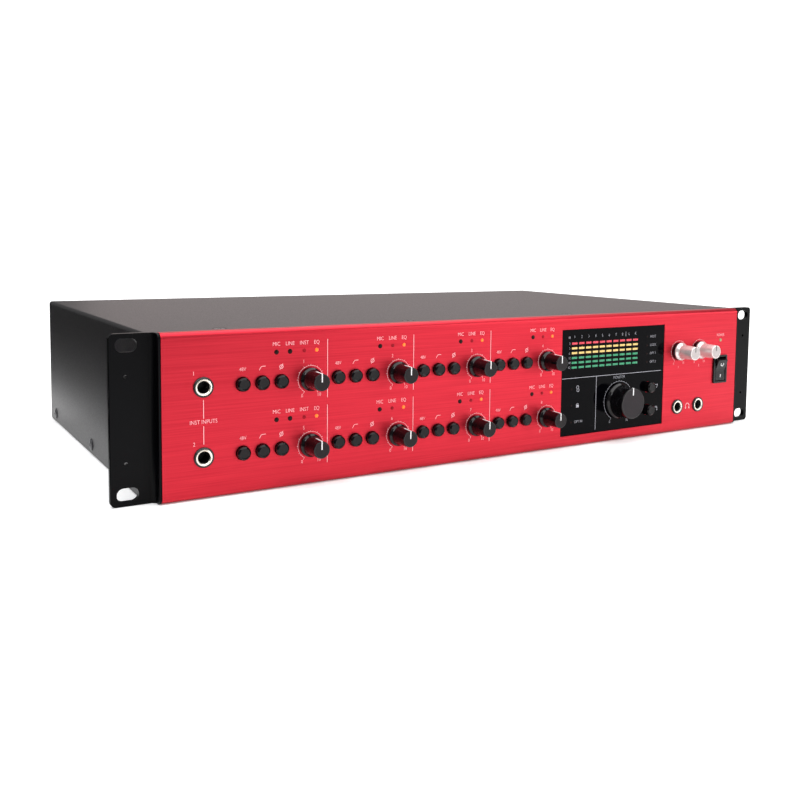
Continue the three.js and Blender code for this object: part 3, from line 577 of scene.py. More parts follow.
def make_fascia_print():
    ink = Print(FACE_Y, PRINT, 2.1)
    lights = Piece()
    for n in CHANNELS:
        print_channel(ink, lights, n)

    for n in PAIR:
        x, z = centre_mm(f"instrument_jack_{n}")
        ink.words(str(n), x - 5.1, z + 7.3, 2)
    x, z = centre_mm("instrument_jack_1")
    ink.line([(x, z - 6.6), (x, z - 16.4)], 0.3)
    ink.words("INST INPUTS", x, z - 18.2)
    ink.line([(x, z - 20.4), (x, z - 30)], 0.3)

    for n in PAIR:
        x, z = centre_mm(f"phones_knob_{n}")
        ink.scale(x, z, 7.6, 0.6)
        ink.words("0", x - 5, z - 8.8, 1.7)
        ink.words("10", x + 5, z - 8.8, 1.7)
        ink.words(str(n), x, z - 11.5, 1.7)
    # A pair of headphones between the two sockets.
    left, right = centre_mm("phones_jack_1"), centre_mm("phones_jack_2")
    x, z = (left[0] + right[0]) / 2, left[1]
    ink.line(arc(x, z - 0.2, 1.9, -115, 115, 18), 0.4)
    for side in (-1, 1):
        ink.line([(x + side * 1.75, z - 0.5), (x + side * 1.75, z - 2.2)], 0.85)

    x, z = centre_mm("switch_housing")
    ink.words("POWER", x, z + 25.5, 1.9)
    lens(lights, x, z + 21.8, FACE_Y, POWER_LENS, 1.3)
    ink.place("fascia_printing")
    lights.place("status_lights")


make_fascia_print()

METER_ROWS = [METER_RED] + [METER_YELLOW] * 2 + [METER_GREEN] * 3
METER_LEVELS = ("0", "3", "6", "12", "18", "42")
METER_COLUMNS = "12345678LR"
METER_X, METER_Z = 56.5, 69.4  # middle of the first cell
PITCH_X, PITCH_Z = 6.17, 3.22
CELL_X, CELL_Z = 2.35, 0.7  # half sizes of a cell


def make_meter(ink, meter):
    for column, label in enumerate(METER_COLUMNS):
        x = METER_X + column * PITCH_X
        ink.words(label, x, METER_Z + 4.3)
        for row, colour in enumerate(METER_ROWS):
            z = METER_Z - row * PITCH_Z
            depth = (GLASS_Y - 0.15, GLASS_Y + 0.2)
            meter.add(block(x - CELL_X, x + CELL_X, *depth, z - CELL_Z, z + CELL_Z, 0.12), colour)
    split = METER_X + 7.5 * PITCH_X
    ink.line([(split, METER_Z + 2.8), (split, METER_Z + 6)], 0.25)
    for row, level in enumerate(METER_LEVELS):
        ink.words(level, METER_X - 4.3, METER_Z - row * PITCH_Z, 1.6)
    ink.words("dB", METER_X - 4.6, METER_Z + 4, 1.6)


def make_window_print():
    ink = Print(GLASS_Y, GREY_PRINT, 1.9)
    meter = Piece()
    low, high = box_mm("display_window")
    divide_x, divide_z = 76.6, 46.2
    ink.line([(low.x + 0.4, divide_z), (high.x - 2, divide_z)])
    ink.line([(divide_x, divide_z), (divide_x, low.z + 1.8)])
    make_meter(ink, meter)

    def dark_light(x, z):
        lens(meter, x, z, GLASS_Y, UNLIT, 0.6, 0.15)

    for row, word in enumerate(("HOST", "LOCK", "OPT 1", "OPT 2")):
        z = 70.9 - row * 5.97
        dark_light(123.7, z)
        ink.words(word, 126.4, z, 1.8, "LEFT")

    x = 60.2
    link_z, lock_z, input_z = 38.8, 27.7, 16.5
    for z in (link_z, lock_z, input_z):
        dark_light(54.9, z)
    # Two linked rings for the computer, and a padlock for a locked clock.
    ink.line(ring(x - 0.2, link_z + 1, 1), closed=True)
    ink.line(ring(x + 0.2, link_z - 1, 1), closed=True)
    ink.add(block(x - 1.2, x + 1.2, ink.front, ink.back, lock_z - 1.5, lock_z + 0.3, 0.02), GREY_PRINT)
    ink.line(arc(x, lock_z + 0.4, 0.8, -90, 90, 12))
    ink.words("OPT IN", 57.6, input_z, 1.8, "LEFT")

    x, z = centre_mm("monitor_knob")
    ink.words("MONITOR", x, z + 16.2)
    ink.scale(x, z, 13.4, 0.8, 0.24)
    ink.words("0", x - 8, z - 14.2)
    ink.words("10", x + 8, z - 14.4)
    x, z = centre_mm("dim_button")
    ink.line([(x + 7.6, z + 1.2), (x + 9.8, z + 1.2), (x + 9, z - 1.3)])
    x, z = centre_mm("mute_button")
    ink.line([(x + 7.9, z + 1.4), (x + 10, z + 1.4)], 0.4)
    ink.line([(x + 8.6, z + 0.6), (x + 10, z + 0.6), (x + 10, z - 1.4), (x + 9.2, z - 0.6)])
    ink.place("window_printing")
    meter.place("level_meter")


make_window_print()

# ---- Buttons and knobs ----

BUTTON_RADIUS = 3.7
PLUNGER_RADIUS = 1.5
SHAFT_RADIUS = 3
SKIRT_BACK = FACE_Y - 0.5  # the back of a knob's skirt
DISC_DEPTH = 1.5  # thickness of the disc let into a knob's front


def make_button(node, height):
    """A push button: a cylinder with a broad rounded chamfer and a shallow dish in its face."""
    back = box_mm(node)[1].y
    front = FACE_Y - height
    profile = [
        (0, front + 0.12), (2.3, front + 0.1, 0.8), (2.75, front, 0.15), (BUTTON_RADIUS, front + 0.85, 0.5),
        (BUTTON_RADIUS, -4, 0.2), (PLUNGER_RADIUS, -4), (PLUNGER_RADIUS, back), (0, back),
    ]
    cap = turned(*centre_mm(node), rounded(profile, 4))
    Piece().add(cap, BUTTON).place(f"{node}_cap", node, [node], "button_black")


for n in CHANNELS:
    for kind in BUTTON_KINDS:
        make_button(f"{kind}_button_{n}", 3.1)
for name in ("dim_button", "mute_button"):
    make_button(name, 4.8)


def shaft(node):
    """The end of a knob's profile: its skirt's back and its shaft."""
    back = box_mm(node)[1].y
    return [(SHAFT_RADIUS, SKIRT_BACK), (SHAFT_RADIUS, back), (0, back)]


def recess(front, radius):
    """The start of a knob's profile: the hollow for its disc."""
    return [(0, front + DISC_DEPTH), (radius, front + DISC_DEPTH), (radius, front + 0.05)]


def place_knob(knob, node, disc, material, path, width, ink=POINTER, slot="knob_black", sides=64):
    """Adds a knob's disc and pointer, and places it. A disc is (floor radius, rim radius, depth, rounding).
    The pointer's path is (y behind the front, height above the axis)."""
    x, z = centre_mm(node)
    front = box_mm(node)[0].y
    floor, rim, depth, curve = disc
    dish = [(0, front + depth), (floor, front + depth, curve), (rim, front + 0.03, 0.1)]
    edge = [(rim + 0.05, front + DISC_DEPTH), (0, front + DISC_DEPTH)]
    knob.add(turned(x, z, rounded(dish + edge, 4), sides), material)
    under = [(y + 0.15, up - 0.15) for y, up in reversed(path)]
    line = [(front + y, z + up) for y, up in path + under]
    knob.add(bar(line, x - width / 2, x + width / 2, "X"), ink)
    knob.place(f"{node}_body", node, [node], slot)


def make_black_knob(node, rim, flare, disc, material, path, width, sides=64):
    """A black knob. Its rim is two radii and a rounding, its flare (radius, height, rounding)."""
    inner, outer, rounding = rim
    front = box_mm(node)[0].y
    side = [(outer, front + 0.05, rounding)] + [(radius, FACE_Y - up, turn) for radius, up, turn in flare]
    barrel = rounded(recess(front, inner) + side + shaft(node), 5)
    knob = Piece().add(turned(*centre_mm(node), barrel, sides), KNOB)
    place_knob(knob, node, disc, material, path, width, sides=sides)


def make_phones_knob(node):
    """A silver cap with a flange, on a black base."""
    x, z = centre_mm(node)
    front = box_mm(node)[0].y
    cap = [
        (4.75, front + 0.1, 0.35), (5, FACE_Y - 4.6, 1.4), (6.35, FACE_Y - 2.9, 0.25),
        (6.35, FACE_Y - 2.1, 0.15), (0, FACE_Y - 2.1),
    ]
    knob = Piece().add(turned(x, z, rounded(recess(front, 4.2) + cap, 5), 64), SILVER)
    base = [(0, FACE_Y - 2.3), (6.1, FACE_Y - 2.3), (6.5, FACE_Y - 1.9, 0.3), (6.5, SKIRT_BACK, 0.2)]
    knob.add(turned(x, z, rounded(base + shaft(node), 3), 64), KNOB)
    path = [(0.07, 0.8), (0, 4.5), (0.25, 4.8), (0.8, 4.85)]
    place_knob(knob, node, (4, 4.2, 0.1, 2), SILVER_FACE, path, 0.7, DARK_INK, "knob_silver")


GAIN_FLARE = [(4.9, 7, 3), (5.3, 3, 2), (6.5, 1.7, 0.2), (6.5, 0.5, 0.2)]
GAIN_POINTER = [(0.07, 0.2), (0, 4.6), (0.15, 4.9), (7.5, 5.12)]
for n in CHANNELS:
    node = f"gain_knob_{n}"
    make_black_knob(node, (4.2, 4.75, 0.45), GAIN_FLARE, (4, 4.3, 0.1, 2), KNOB_FACE, GAIN_POINTER, 0.62)
WIDE_FLARE = [(10.7, 6, 3), (11.1, 3.2, 2), (12.3, 1.8, 0.3), (12.3, 0.5, 0.2)]
WIDE_POINTER = [(0.07, 5.6), (0, 10.1), (0.15, 10.5), (1.4, 10.55)]
WIDE_RIM, WIDE_DISC = (9.6, 10.4, 0.5), (9.3, 9.8, 0.15, 3)
make_black_knob("monitor_knob", WIDE_RIM, WIDE_FLARE, WIDE_DISC, WIDE_FACE, WIDE_POINTER, 0.8, 96)
for n in PAIR:
    make_phones_knob(f"phones_knob_{n}")

# ---- Front sockets ----

PLUG_BORE = 3.3
BUSH_OUTER = 4.4


def make_front_jack(node):
    """A quarter-inch socket: moulded body, black nut ring and a bright bush round a bore lined with painted
    shade.
    """
    x, z = centre_mm(node)
    low, high = box_mm(node)
    jack = Piece()
    nut = [
        (BUSH_OUTER, FACE_Y + 0.2), (BUSH_OUTER, low.y + 0.05, 0.1), (4.9, low.y, 0.2),
        (5.35, low.y + 0.45, 0.2), (5.35, FACE_Y - 0.05), (5, FACE_Y + 0.2),
    ]
    jack.add(turned(x, z, rounded(nut, 3), 64, closed=True), JACK)
    bush = [
        (PLUG_BORE, 1.5), (PLUG_BORE, low.y + 0.5, 0.3), (3.75, low.y + 0.1, 0.25),
        (BUSH_OUTER, low.y + 0.2, 0.1), (BUSH_OUTER, 1.5),
    ]
    jack.add(turned(x, z, rounded(bush, 4), 64, closed=True), BUSH)
    # A liner of painted shade inside the bush, darker than the socket's plastic, which leaves only the bush's
    # front showing.
    liner, outside, mouth = PLUG_BORE - 0.1, PLUG_BORE - 0.03, low.y + 1.3
    bore = [
        (0, high.y - 1), (liner, high.y - 1), (liner, mouth), (outside, mouth), (outside, high.y - 0.5),
        (0, high.y - 0.5),
    ]
    jack.add(turned(x, z, bore, 64), BORE_SHADE)
    spring = [(x + 2.1, z + 2.1), (x + 2.9, z + 1.2)]
    jack.add(stroke(spring, 0.8, 3, 10), BRASS)
    jack.add(block(low.x, high.x, -1.2, high.y, low.z, high.z, 0.5), JACK)
    jack.place(f"{node}_socket", ROOT, [node], "jack_black")


for n in PAIR:
    make_front_jack(f"instrument_jack_{n}")
    make_front_jack(f"phones_jack_{n}")

# ---- Power switch ----


def make_switch():
    low, high = box_mm("switch_housing")
    x, z = centre_mm("switch_housing")
    bezel = bar(rectangle(x, z, high.x - x, high.z - z, 0.8), low.y, FACE_Y - 0.05, edge=0.3, steps=3)
    well = bar(rectangle(x, z, 5.5, 9.1, 0.4), low.y - 1, 2)
    housing = Piece()
    housing.add(carved(bezel, [bar(rectangle(x, z, 5.6, 9.2, 0.4), low.y - 1, FACE_Y + 1)], 0.12), SWITCH)
    shell = bar(rectangle(x, z, 6.4, 9.9, 0.3), low.y + 0.4, 16)
    housing.add(carved(shell, [well]), SWITCH)
    for dz in (-5.5, 0, 5.5):
        housing.add(block(x - 2.4, x + 2.4, 15, high.y, z + dz - 0.4, z + dz + 0.4, 0.12), CHROME)
    housing.place("power_switch_housing", ROOT, ["switch_housing"], "switch_black")

    # The level rocker's outline from the side, as (y, z) about its pivot.
    pivot_y, tilt = -7.4, 10
    upper = [(-5.1, 8, 0.5), (0, 8.2), (4, 7.2), (6.5, 4.5)]
    lower = [(y, -up) for y, up in reversed([corner[:2] for corner in upper])]
    lower[-1] = (-5.1, -8, 0.5)
    dish = [(-4.55, -5.2, 6), (-3.6, -0.8, 2), (-3.6, 0.8, 2), (-4.55, 5.2, 6)]
    outline = rounded(dish + upper + lower, 4, closed=True)
    tilted = Matrix.Translation((x, pivot_y, z)) @ rotation(tilt, "X")
    rocker = Piece()
    rocker.add(moved(bar(outline, -5.1, 5.1, "X", edge=0.35, steps=3), tilted), SWITCH)
    circle = stroke(ring(0, 4.6, 1.35), 0.42, -4.62, -4, closed=True)
    dash = stroke([(0, -6.2), (0, -3.2)], 0.45, -4.62, -4)
    for mark in (circle, dash):
        rocker.add(moved(mark, tilted), POINTER)
    pins = bmesh.new()
    bmesh.ops.create_cone(pins, cap_ends=True, segments=24, radius1=1.1, radius2=1.1, depth=11.6)
    rocker.add(moved(pins, tilted @ rotation(90, "Y")), SWITCH)
    rocker.place("power_rocker_key", "power_rocker", ["power_rocker"], "switch_black")


make_switch()

# ---- Ears ----

SLOT_X, SLOT_RISE = 232.6, 38.1  # of the 19-inch rack standard, from the panel's middle
PINHOLE_X, PINHOLE_RISE = 233.3, 22.2
QUARTER = [math.radians(90 * k / 10) for k in range(11)]


def spandrel(u, v, inward, up, radius):
    """The outline of what lies outside a round corner at (u, v) of a plate that lies inward of u."""
    turns = [(radius - radius * math.sin(a), radius - radius * math.cos(a)) for a in QUARTER]
    curve = [(u + inward * du, v - up * dv) for du, dv in turns]
    beyond = 2
    outer_u, outer_v = u - inward * beyond, v + up * beyond
    return curve + [(outer_u, v - up * radius), (outer_u, outer_v), (u + inward * radius, outer_v)]


def make_ear(node, side):
    """A rack ear: plate with two slots, concave fillet, forward cheek and inner flange. side is 1 or -1."""
    low, high = box_mm(node)
    edge_x = max(abs(low.x), abs(high.x))
    inner_x, cheek_x, plate_y = 217.5, 218.7, -3
    section = [
        (inner_x, 0), (inner_x, FACE_Y, 0.15), (cheek_x, FACE_Y, 0.3), (cheek_x, plate_y, 2.5),
        (edge_x, plate_y, 0.5), (edge_x, 0, 0.2),
    ]
    outline = [(side * p.x, p.y) for p in rounded(section, 8, closed=True)]
    blank = bar(outline, 0, HEIGHT, "Z")
    reach, corner = 20, 3
    across = sorted((side * (inner_x - 1), side * (edge_x + 1)))
    cutters = []
    for z, up in ((0, -1), (HEIGHT, 1)):
        plate_corner = [(side * u, v) for u, v in spandrel(edge_x, z, -1, up, corner)]
        cutters.append(bar(plate_corner, -reach, reach))
        cutters.append(bar(spandrel(FACE_Y, z, 1, up, corner), *across, "X"))
    for rise in (-SLOT_RISE, SLOT_RISE):
        slot = rectangle(side * SLOT_X, HEIGHT / 2 + rise, 5.5, 3.55, 3.54, 12)
        cutters.append(bar(slot, -reach, reach))
    for rise in (-PINHOLE_RISE, PINHOLE_RISE):
        cutters.append(rod(side * PINHOLE_X, HEIGHT / 2 + rise, 0.9, -reach, reach, 24))
    ear = Piece().add(carved(blank, cutters, 0.25), EAR_PAINT)
    x0, x1 = sorted((side * 219.9, side * 221.9))
    ear.add(block(x0, x1, -0.5, high.y, 16, 76, 0.3), EAR_PAINT)
    ear.place(f"{node}_plate", ROOT, [node], "black_paint")


make_ear("left_ear", -1)
make_ear("right_ear", 1)

# ---- Cover and screws ----

COVER_SCREWS = [(x, 5) for x in (-181.5, -63.8, 61.8, 181.5)] + [(x, 248) for x in (-181.5, -61.5, 58, 181.5)]
SIDE_SCREWS = [(y, 6.3) for y in (121.3, 238.8)]
COVER_SCREW_RADIUS = 3.4
SIDE_SCREW_RADIUS = 3.8


def make_cover():
    low, high = box_mm("top_cover")
    bend, sheet = 2, 1.2
    inner = BODY_HALF - sheet
    section = [
        (BODY_HALF, low.z), (BODY_HALF, BODY_TOP, bend), (-BODY_HALF, BODY_TOP, bend), (-BODY_HALF, low.z),
        (-inner, low.z), (-inner, BODY_TOP - sheet, bend - sheet), (inner, BODY_TOP - sheet, bend - sheet),
        (inner, low.z),
    ]
    blank = bar(rounded(section, 8, closed=True), 0.3, high.y)
    rim = COVER_SCREW_RADIUS + 0.25
    countersink = [(0, 85), (1.8, 85), (rim, BODY_TOP - 0.9), (rim, BODY_TOP + 1), (0, BODY_TOP + 1)]
    cutters = [moved(turned(x, -y, countersink, 40), rotation(90, "X")) for x, y in COVER_SCREWS]
    cover = Piece().add(carved(blank, cutters, 0.2), PAINT)
    fascia_low, fascia_high = box_mm("fascia")
    # The cover's front edge, between the ears.
    cover.add(block(fascia_low.x, fascia_high.x, low.y, 0.8, BODY_TOP - sheet, BODY_TOP, 0.15), PAINT)
    cover.place("cover_shell", ROOT, ["top_cover"], "black_paint")


def screw_head(radius, rise):
    """A screw head at the origin facing -Y, with a cross recess."""
    recess, half_slot = 1.5, 0.4
    dome = [(0, -rise), (radius * 0.5, -rise, 1), (radius, -rise * 0.45, 0.3), (radius, 0.9), (0, 0.9)]
    head = turned(0, 0, rounded(dome, 4), 40)
    arms = [
        block(-recess, recess, -rise - 1, -rise + 0.9, -half_slot, half_slot, 0.05),
        block(-half_slot, half_slot, -rise - 1.1, -rise + 0.92, -recess, recess, 0.05),
    ]
    for arm in arms:
        head = carved(head, [arm])
    return carved(head, [], 0.08)


def make_screws():
    screws = Piece()
    for i, (x, y) in enumerate(COVER_SCREWS):
        place = Matrix.Translation((x, y, BODY_TOP - 0.1)) @ rotation(17 + 38 * i, "Z") @ rotation(-90, "X")
        screws.add(moved(screw_head(COVER_SCREW_RADIUS, 0.05), place), SCREW)
    for side in (-1, 1):
        for i, (y, z) in enumerate(SIDE_SCREWS):
            place = Matrix.Translation((side * BODY_HALF, y, z)) @ rotation(25 + 41 * i, "X")
            head = moved(screw_head(SIDE_SCREW_RADIUS, 1.1), place @ rotation(90 * side, "Z"))
            screws.add(head, SCREW)
    screws.place("cover_screws", ROOT)


make_cover()
make_screws()

# ---- Rear sockets ----

BOARD_THICKNESS = PANEL_THICKNESS = 1.6
COMBO_PLACES = [(-203 + 28 * i, 24) for i in range(8)]
LINE_PLACES = [(-204 + 22 * i, 62) for i in range(10)]


def start_board(node):
    """A piece that begins with its circuit board, and the y at which its sockets begin."""
    low, high = box_mm(node)
    inner = low.y + BOARD_THICKNESS
    return Piece().add(block(low.x, high.x, low.y, inner, low.z, high.z, 0.15), BOARD), inner


def socket_body(board, x, z, half_width, half_height, inner, edge=0.5):
    """A socket's moulded body, between its board and the rear panel."""
    sides = (x - half_width, x + half_width, inner, REAR - PANEL_THICKNESS, z - half_height, z + half_height)
    board.add(block(*sides, edge), JACK)


def on_rear(x, z, profile, steps=3, sides=48, closed=True):
    """A turned shape on the rear panel. Its profile is (radius, height above the panel, rounding if any)."""
    line = [(radius, REAR + height, *rounding) for radius, height, *rounding in profile]
    return turned(x, z, rounded(line, steps), sides, closed)


def rear_rod(x, z, radius, start, end, sides=48):
    return rod(x, z, radius, REAR + start, REAR + end, sides)


def hollow(piece, x, z, radius, depth, mouth, sides=32):
    """A blind tube of painted shade inside a socket, darker than its plastic, whose mouth is at y = mouth."""
    inner, outer = mouth - depth, radius + 0.3
    inside = [(0, inner), (radius, inner), (radius, mouth)]
    outside = [(outer, mouth), (outer, inner - 0.5), (0, inner - 0.5)]
    piece.add(turned(x, z, inside + outside, sides), BORE_SHADE)


def make_combo_sockets():
    board, inner = start_board("combo_socket_board")
    rim = [(10, -9), (10, 0.7, 0.4), (12.5, 0.8, 0.4), (12.5, 0.05), (11.8, -1.2), (11.8, -9)]
    core = [(0, -0.4), (9.3, -0.4, 0.4), (9.3, -9), (0, -9)]
    for x, z in COMBO_PLACES:
        socket_body(board, x, z, 13, 14, inner)
        board.add(on_rear(x, z, rim, 4, 64), JACK)
        holes = [rear_rod(x, z, PLUG_BORE, -8, 1, 40)]
        for angle in (-58, 58, 180):
            holes.append(rear_rod(*around(x, z, 6.2, angle), 1.35, -6, 1, 20))
        board.add(carved(on_rear(x, z, core, 4, 64, closed=False), holes, 0.15), JACK)
        hollow(board, x, z, 3.5, 8.5, REAR - 7.9)
        board.add(block(x - 2.2, x + 2.2, REAR - 3, REAR + 1.1, z + 10.2, z + 12, 0.3), CHROME)
    board.place("combo_sockets", ROOT, ["combo_socket_board"], "socket_black")


def make_line_outputs():
    board, inner = start_board("line_output_board")
    bush = [(PLUG_BORE, -10), (PLUG_BORE, 1.4, 0.2), (5, 1.4, 0.3), (5, -10)]
    washer = [(5.05, 0.05), (7.4, 0.05, 0.1), (7.4, 0.5, 0.15), (5.05, 0.5)]
    for i, (x, z) in enumerate(LINE_PLACES):
        socket_body(board, x, z, 8, 8, inner)
        board.add(on_rear(x, z, bush), JACK)
        hexagon = [around(x, z, 6.9, 90 - 60 * k - 15 * i) for k in range(6)]
        nut = bar(hexagon, REAR + 0.5, REAR + 2.1, edge=0.35)
        board.add(carved(nut, [rear_rod(x, z, 5.02, -1, 4)]), CHROME)
        board.add(on_rear(x, z, washer, 2), CHROME)
        hollow(board, x, z, PLUG_BORE, 14, REAR - 2)
    board.place("line_output_sockets", ROOT, ["line_output_board"], "socket_black")


def add_control_socket(board, x, z, inner):
    """A round five-pin socket."""
    socket_body(board, x, z, 9.5, 9.5, inner)
    shell = [(6.9, -6), (6.9, 0.7, 0.2), (8.4, 0.8, 0.3), (8.4, 0.05), (7.8, -1), (7.8, -6)]
    board.add(on_rear(x, z, shell, 3, 56), CHROME)
    holes = [block(x - 1, x + 1, REAR - 3, REAR + 1, z - 7.2, z - 5.9, 0.1)]
    for angle in (-90, -45, 0, 45, 90):
        holes.append(rear_rod(*around(x, z, 4.6, angle), 0.8, -5, 1, 16))
    board.add(carved(rear_rod(x, z, 6.9, 0.2, -6, 56), holes, 0.08), JACK)


def add_optical_socket(board, x, z, inner):
    """A square optical socket with its door shut."""
    socket_body(board, x, z, 6.5, 6.5, inner, 0.4)
    surround = bar(rectangle(x, z, 5.9, 5.9, 0.6), REAR - 1, REAR + 0.8, edge=0.2)
    doorway = bar(rectangle(x, z, 4.2, 4, 1.2), REAR - 3, REAR + 2)
    board.add(carved(surround, [doorway], 0.1), JACK)
    board.add(bar(rectangle(x, z, 4.25, 4.05, 1.2), REAR - 1.5, REAR - 0.1, edge=0.3), LOOM)
    board.add(block(x - 4, x + 4, REAR - 0.3, REAR + 0.1, z + 3.1, z + 3.7, 0.1), LOOM)


def add_coaxial_socket(board, x, z, inner):
    """A coaxial digital socket: a plated barrel round an insulator."""
    socket_body(board, x, z, 6.5, 8, inner, 0.4)
    barrel = [(3.2, -6), (3.2, 8.9, 0.2), (4.2, 9, 0.3), (4.2, 0.8), (5.6, 0.8, 0.2), (5.6, 0.05), (4.2, -6)]
    board.add(on_rear(x, z, barrel), CHROME)
    board.add(on_rear(x, z, [(1.6, -6), (1.6, 7.6, 0.2), (3.2, 7.6, 0.2), (3.2, -6)], 2, 40), INSULATOR)
    hollow(board, x, z, 1.6, 8, REAR + 2, 20)


def add_clock_socket(board, x, z, inner):
    """A bayonet socket: a plated barrel with two lugs round a centre contact."""
    socket_body(board, x, z, 7.5, 7.5, inner, 0.4)
    barrel = [(4.1, 1), (4.1, 10.4, 0.2), (4.8, 10.4, 0.2), (4.8, 1.6)]
    barrel += [(6.6, 1.6, 0.2), (6.6, 0.05), (4.1, -6)]
    board.add(on_rear(x, z, barrel), CHROME)
    for side in (-1, 1):
        lug = rod(x + side * 5.2, -(REAR + 7.6), 0.9, z - 1, z + 1, 16)
        board.add(moved(lug, rotation(90, "X")), CHROME)
    board.add(on_rear(x, z, [(0.6, 1), (0.6, 8, 0.1), (1.5, 8, 0.2), (1.5, 1)], 2, 32), INSULATOR)
    board.add(on_rear(x, z, [(0, 7.4), (0.5, 7.2, 0.2), (0.5, 1), (0, 1)], 2, 16, closed=False), BRASS)
    # A disc of painted shade at the foot of the barrel.
    board.add(rear_rod(x, z, 4.2, 0.5, 1.2, 32), BORE_SHADE)


def add_computer_socket(board, x, z, inner):
    """A small flat computer socket with a tongue."""
    shell = bar(rectangle(x, z, 5, 2.4, 1.6), inner, REAR + 0.8, edge=0.15)
    opening = bar(rectangle(x, z, 4.4, 1.6, 1.5), REAR - 7, REAR + 2)
    board.add(carved(shell, [opening], 0.1), CHROME)
    board.add(block(x - 3.2, x + 3.2, REAR - 6.5, REAR - 0.6, z - 0.35, z + 0.35, 0.1), LOOM)


# Sockets in pairs, in and out: (maker, places along X, height, height of the words).
DIGITAL_PAIRS = [
    (add_control_socket, (26, 48), 24, 37), (add_optical_socket, (24, 42), 60, 70),
    (add_coaxial_socket, (62, 78), 60, 70), (add_clock_socket, (72, 92), 24, 35),
]


def make_digital_sockets():
    board, inner = start_board("digital_io_board")
    for add_socket, places, z, _ in DIGITAL_PAIRS:
        for x in places:
            add_socket(board, x, z, inner)
    add_computer_socket(board, 104, 58, inner)
    board.place("digital_sockets", ROOT, ["digital_io_board"], "socket_black")


def make_inlet():
    low, high = box_mm("mains_inlet")
    x, z = centre_mm("mains_inlet")
    mouth = rectangle(x, z, 12.1, 8, 2)
    screw_places = (x - 20, x + 20)
    inlet = Piece()
    flange = bar(rectangle(x, z, high.x - x, high.z - z, 3), REAR + 0.1, high.y, edge=0.4, steps=3)
    countersink = [(0, REAR), (3.1, high.y - 0.9), (3.1, high.y + 1), (0, high.y + 1)]
    cutters = [bar(mouth, REAR - 1, high.y + 1)] + [turned(sx, z, countersink, 40) for sx in screw_places]
    inlet.add(carved(flange, cutters, 0.15), SWITCH)
    shell = bar(rectangle(x, z, 13.6, 10, 2), low.y, high.y - 0.6)
    inlet.add(carved(shell, [bar(mouth, high.y - 16, high.y + 1)]), SWITCH)
    for dx, dz in ((-7, -1), (0, 3), (7, -1)):
        inlet.add(block(x + dx - 1, x + dx + 1, low.y + 5, high.y - 4, z + dz - 2, z + dz + 2, 0.25), CHROME)
    for sx in screw_places:
        place = Matrix.Translation((sx, high.y - 0.6, z)) @ rotation(180, "Z")
        inlet.add(moved(screw_head(3, 0.1), place), SCREW)
    inlet.place("mains_inlet_socket", ROOT, ["mains_inlet"], "socket_black")


def make_rear_print():
    ink = Print(REAR, GREY_PRINT, 2.2, facing=1)
    for number, (x, z) in zip(range(8, 0, -1), COMBO_PLACES):
        ink.words(str(number), x, z + 18)
    for number, (x, z) in zip(range(10, 0, -1), LINE_PLACES):
        ink.words(str(number), x, z + 12)
    for _, places, _, z in DIGITAL_PAIRS:
        ink.words("IN", places[0], z)
        ink.words("OUT", places[1], z)
    ink.place("rear_printing")


make_combo_sockets()
make_line_outputs()
make_digital_sockets()
make_inlet()
make_rear_print()

# ---- CAD nodes that stay ----

KEPT_NODES = {"chassis_tray": PAINT, "ribbon_cable": RIBBON, "mains_loom": LOOM}
KEPT_NODES.update(dict.fromkeys(("control_board", "main_board", "power_supply"), BOARD))
for node, material in KEPT_NODES.items():
    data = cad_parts[node].data
    data.materials.clear()
    data.materials.append(material)

# ---- Camera, floor and light, in metres ----

VIEW_FROM = Vector((-0.3456, -0.4653, 0.1355))
VIEW_ALONG = Vector((0.5328, 0.8425, -0.0793))
VIEW_UP = Vector((0.0318, 0.0737, 0.9968))
FOCAL_LENGTH_MM = 40.91
LENS_SHIFT = (-0.0373, -0.1074)  # the photo is cropped off the lens's axis
FLOOR_RADIUS = 1.8
WHITE = (1, 1, 1, 1)


def make_camera():
    lens_data = bpy.data.cameras.new("camera")
    lens_data.sensor_width = 36
    lens_data.lens = FOCAL_LENGTH_MM
    lens_data.shift_x, lens_data.shift_y = LENS_SHIFT
    lens_data.clip_start = 0.01
    camera = add_object("camera", lens_data)
    back = -VIEW_ALONG.normalized()
    right = VIEW_UP.cross(back).normalized()
    up = back.cross(right)
    turn = Matrix((right, up, back)).transposed()
    camera.matrix_world = Matrix.Translation(VIEW_FROM) @ turn.to_4x4()
    bpy.context.scene.camera = camera


def softbox(name, place, target, size, power, colour=(1, 1, 1)):
    """A large soft lamp at place that looks at target. Power is in watts."""
    data = bpy.data.lights.new(name, "AREA")
    data.shape = "RECTANGLE"
    data.size, data.size_y = size
    data.energy = power
    data.color = colour
    lamp = add_object(name, data)
    lamp.location = place
    lamp.rotation_euler = (Vector(target) - Vector(place)).to_track_quat("-Z", "Y").to_euler()
    lamp.visible_camera = False


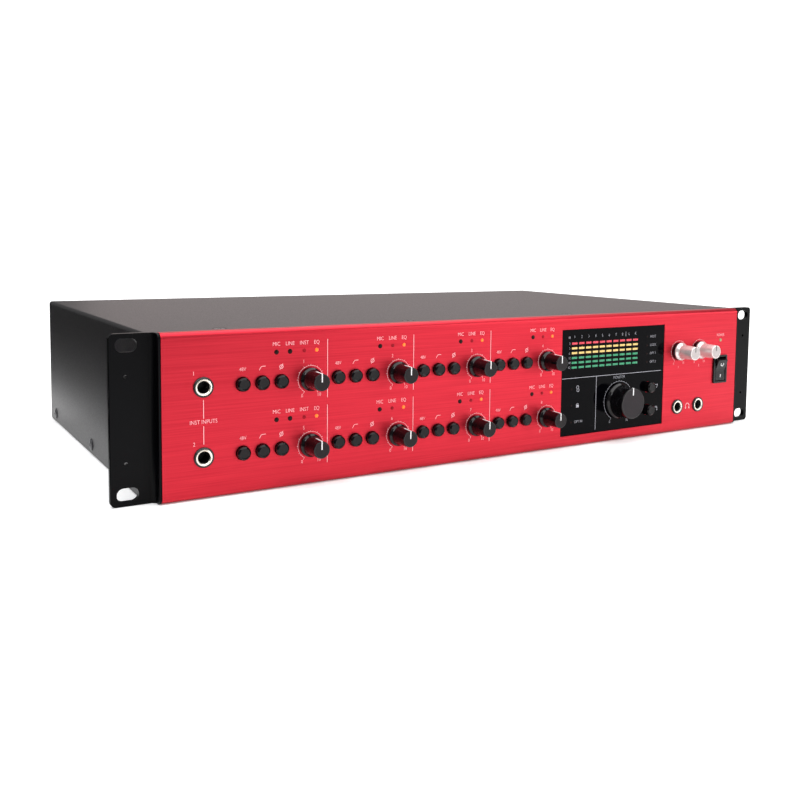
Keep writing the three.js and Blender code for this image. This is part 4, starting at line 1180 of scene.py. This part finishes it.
def make_floor():
    """A pale disc whose rim fades out."""
    shape = bmesh.new()
    bmesh.ops.create_circle(shape, cap_ends=True, segments=96, radius=FLOOR_RADIUS)
    floor = as_object(moved(shape, Matrix.Translation((0, 0.12, -0.0002))), "floor")
    glow = {"Emission_Color": WHITE, "Emission_Strength": 0.15}
    pale = finish("pale_floor", [244] * 3, [248] * 3, (0.6, 0.7), 40, bump=0.02, **glow)
    nodes = pale.node_tree.nodes
    where = nodes.new("ShaderNodeTexCoord")
    distance = nodes.new("ShaderNodeVectorMath")
    distance.operation = "LENGTH"
    reach = {"From_Min": 0.45 * FLOOR_RADIUS, "From_Max": 0.95 * FLOOR_RADIUS}
    fade = fill(nodes.new("ShaderNodeMapRange"), **reach, To_Min=1, To_Max=0)
    fade.interpolation_type = "SMOOTHSTEP"
    wire(where, "Object", distance, 0)
    wire(distance, "Value", fade, "Value")
    wire(fade, "Result", nodes["Principled BSDF"], "Alpha")
    floor.data.materials.append(pale)


def make_world():
    """White to the eye, with a dim studio for light and reflections."""
    world = bpy.data.worlds.new("studio")
    bpy.context.scene.world = world
    world.use_nodes = True
    nodes = world.node_tree.nodes
    room = fill(nodes["Background"], Color=WHITE, Strength=0.2)
    white = fill(nodes.new("ShaderNodeBackground"), Color=WHITE, Strength=1.6)
    path = nodes.new("ShaderNodeLightPath")
    mix = nodes.new("ShaderNodeMixShader")
    wire(path, "Is Camera Ray", mix, "Fac")
    wire(room, "Background", mix, 1)
    wire(white, "Background", mix, 2)
    wire(mix, "Shader", nodes["World Output"], "Surface")


def make_dark_card():
    """A level black card beside the body, which only reflections see."""
    corners = [(-1.6, -0.3), (-0.262, -0.3), (-0.262, 1.7), (-1.6, 1.7)]
    shape = bmesh.new()
    shape.faces.new([shape.verts.new((x, y, 0.001)) for x, y in corners])
    card = as_object(shape, "side_card")
    card.data.materials.append(FLAG)
    card.visible_camera = False
    card.visible_diffuse = False
    card.visible_shadow = False


make_camera()
make_floor()
make_world()
softbox("top", (0.1, 0.1, 1.9), (0.1, 0.1, 0), (3, 3), 95)
softbox("key", (-0.3, -1.4, 1.2), (0, 0, 0.05), (0.8, 0.8), 3)
softbox("window", (-1.1, -0.25, 1.1), (-0.1, 0, 0.05), (0.32, 0.42), 5, (0.95, 0.96, 1))
softbox("back", (1.5, 2.6, 0.7), (0.1, 0.2, 0.08), (2.6, 1.2), 7, (1, 0.84, 0.82))
softbox("front", (1.55, -1.6, 0.6), (0.1, 0, 0.05), (1.3, 1), 18.5)
make_dark_card()
bpy.context.scene.view_settings.view_transform = "Standard"
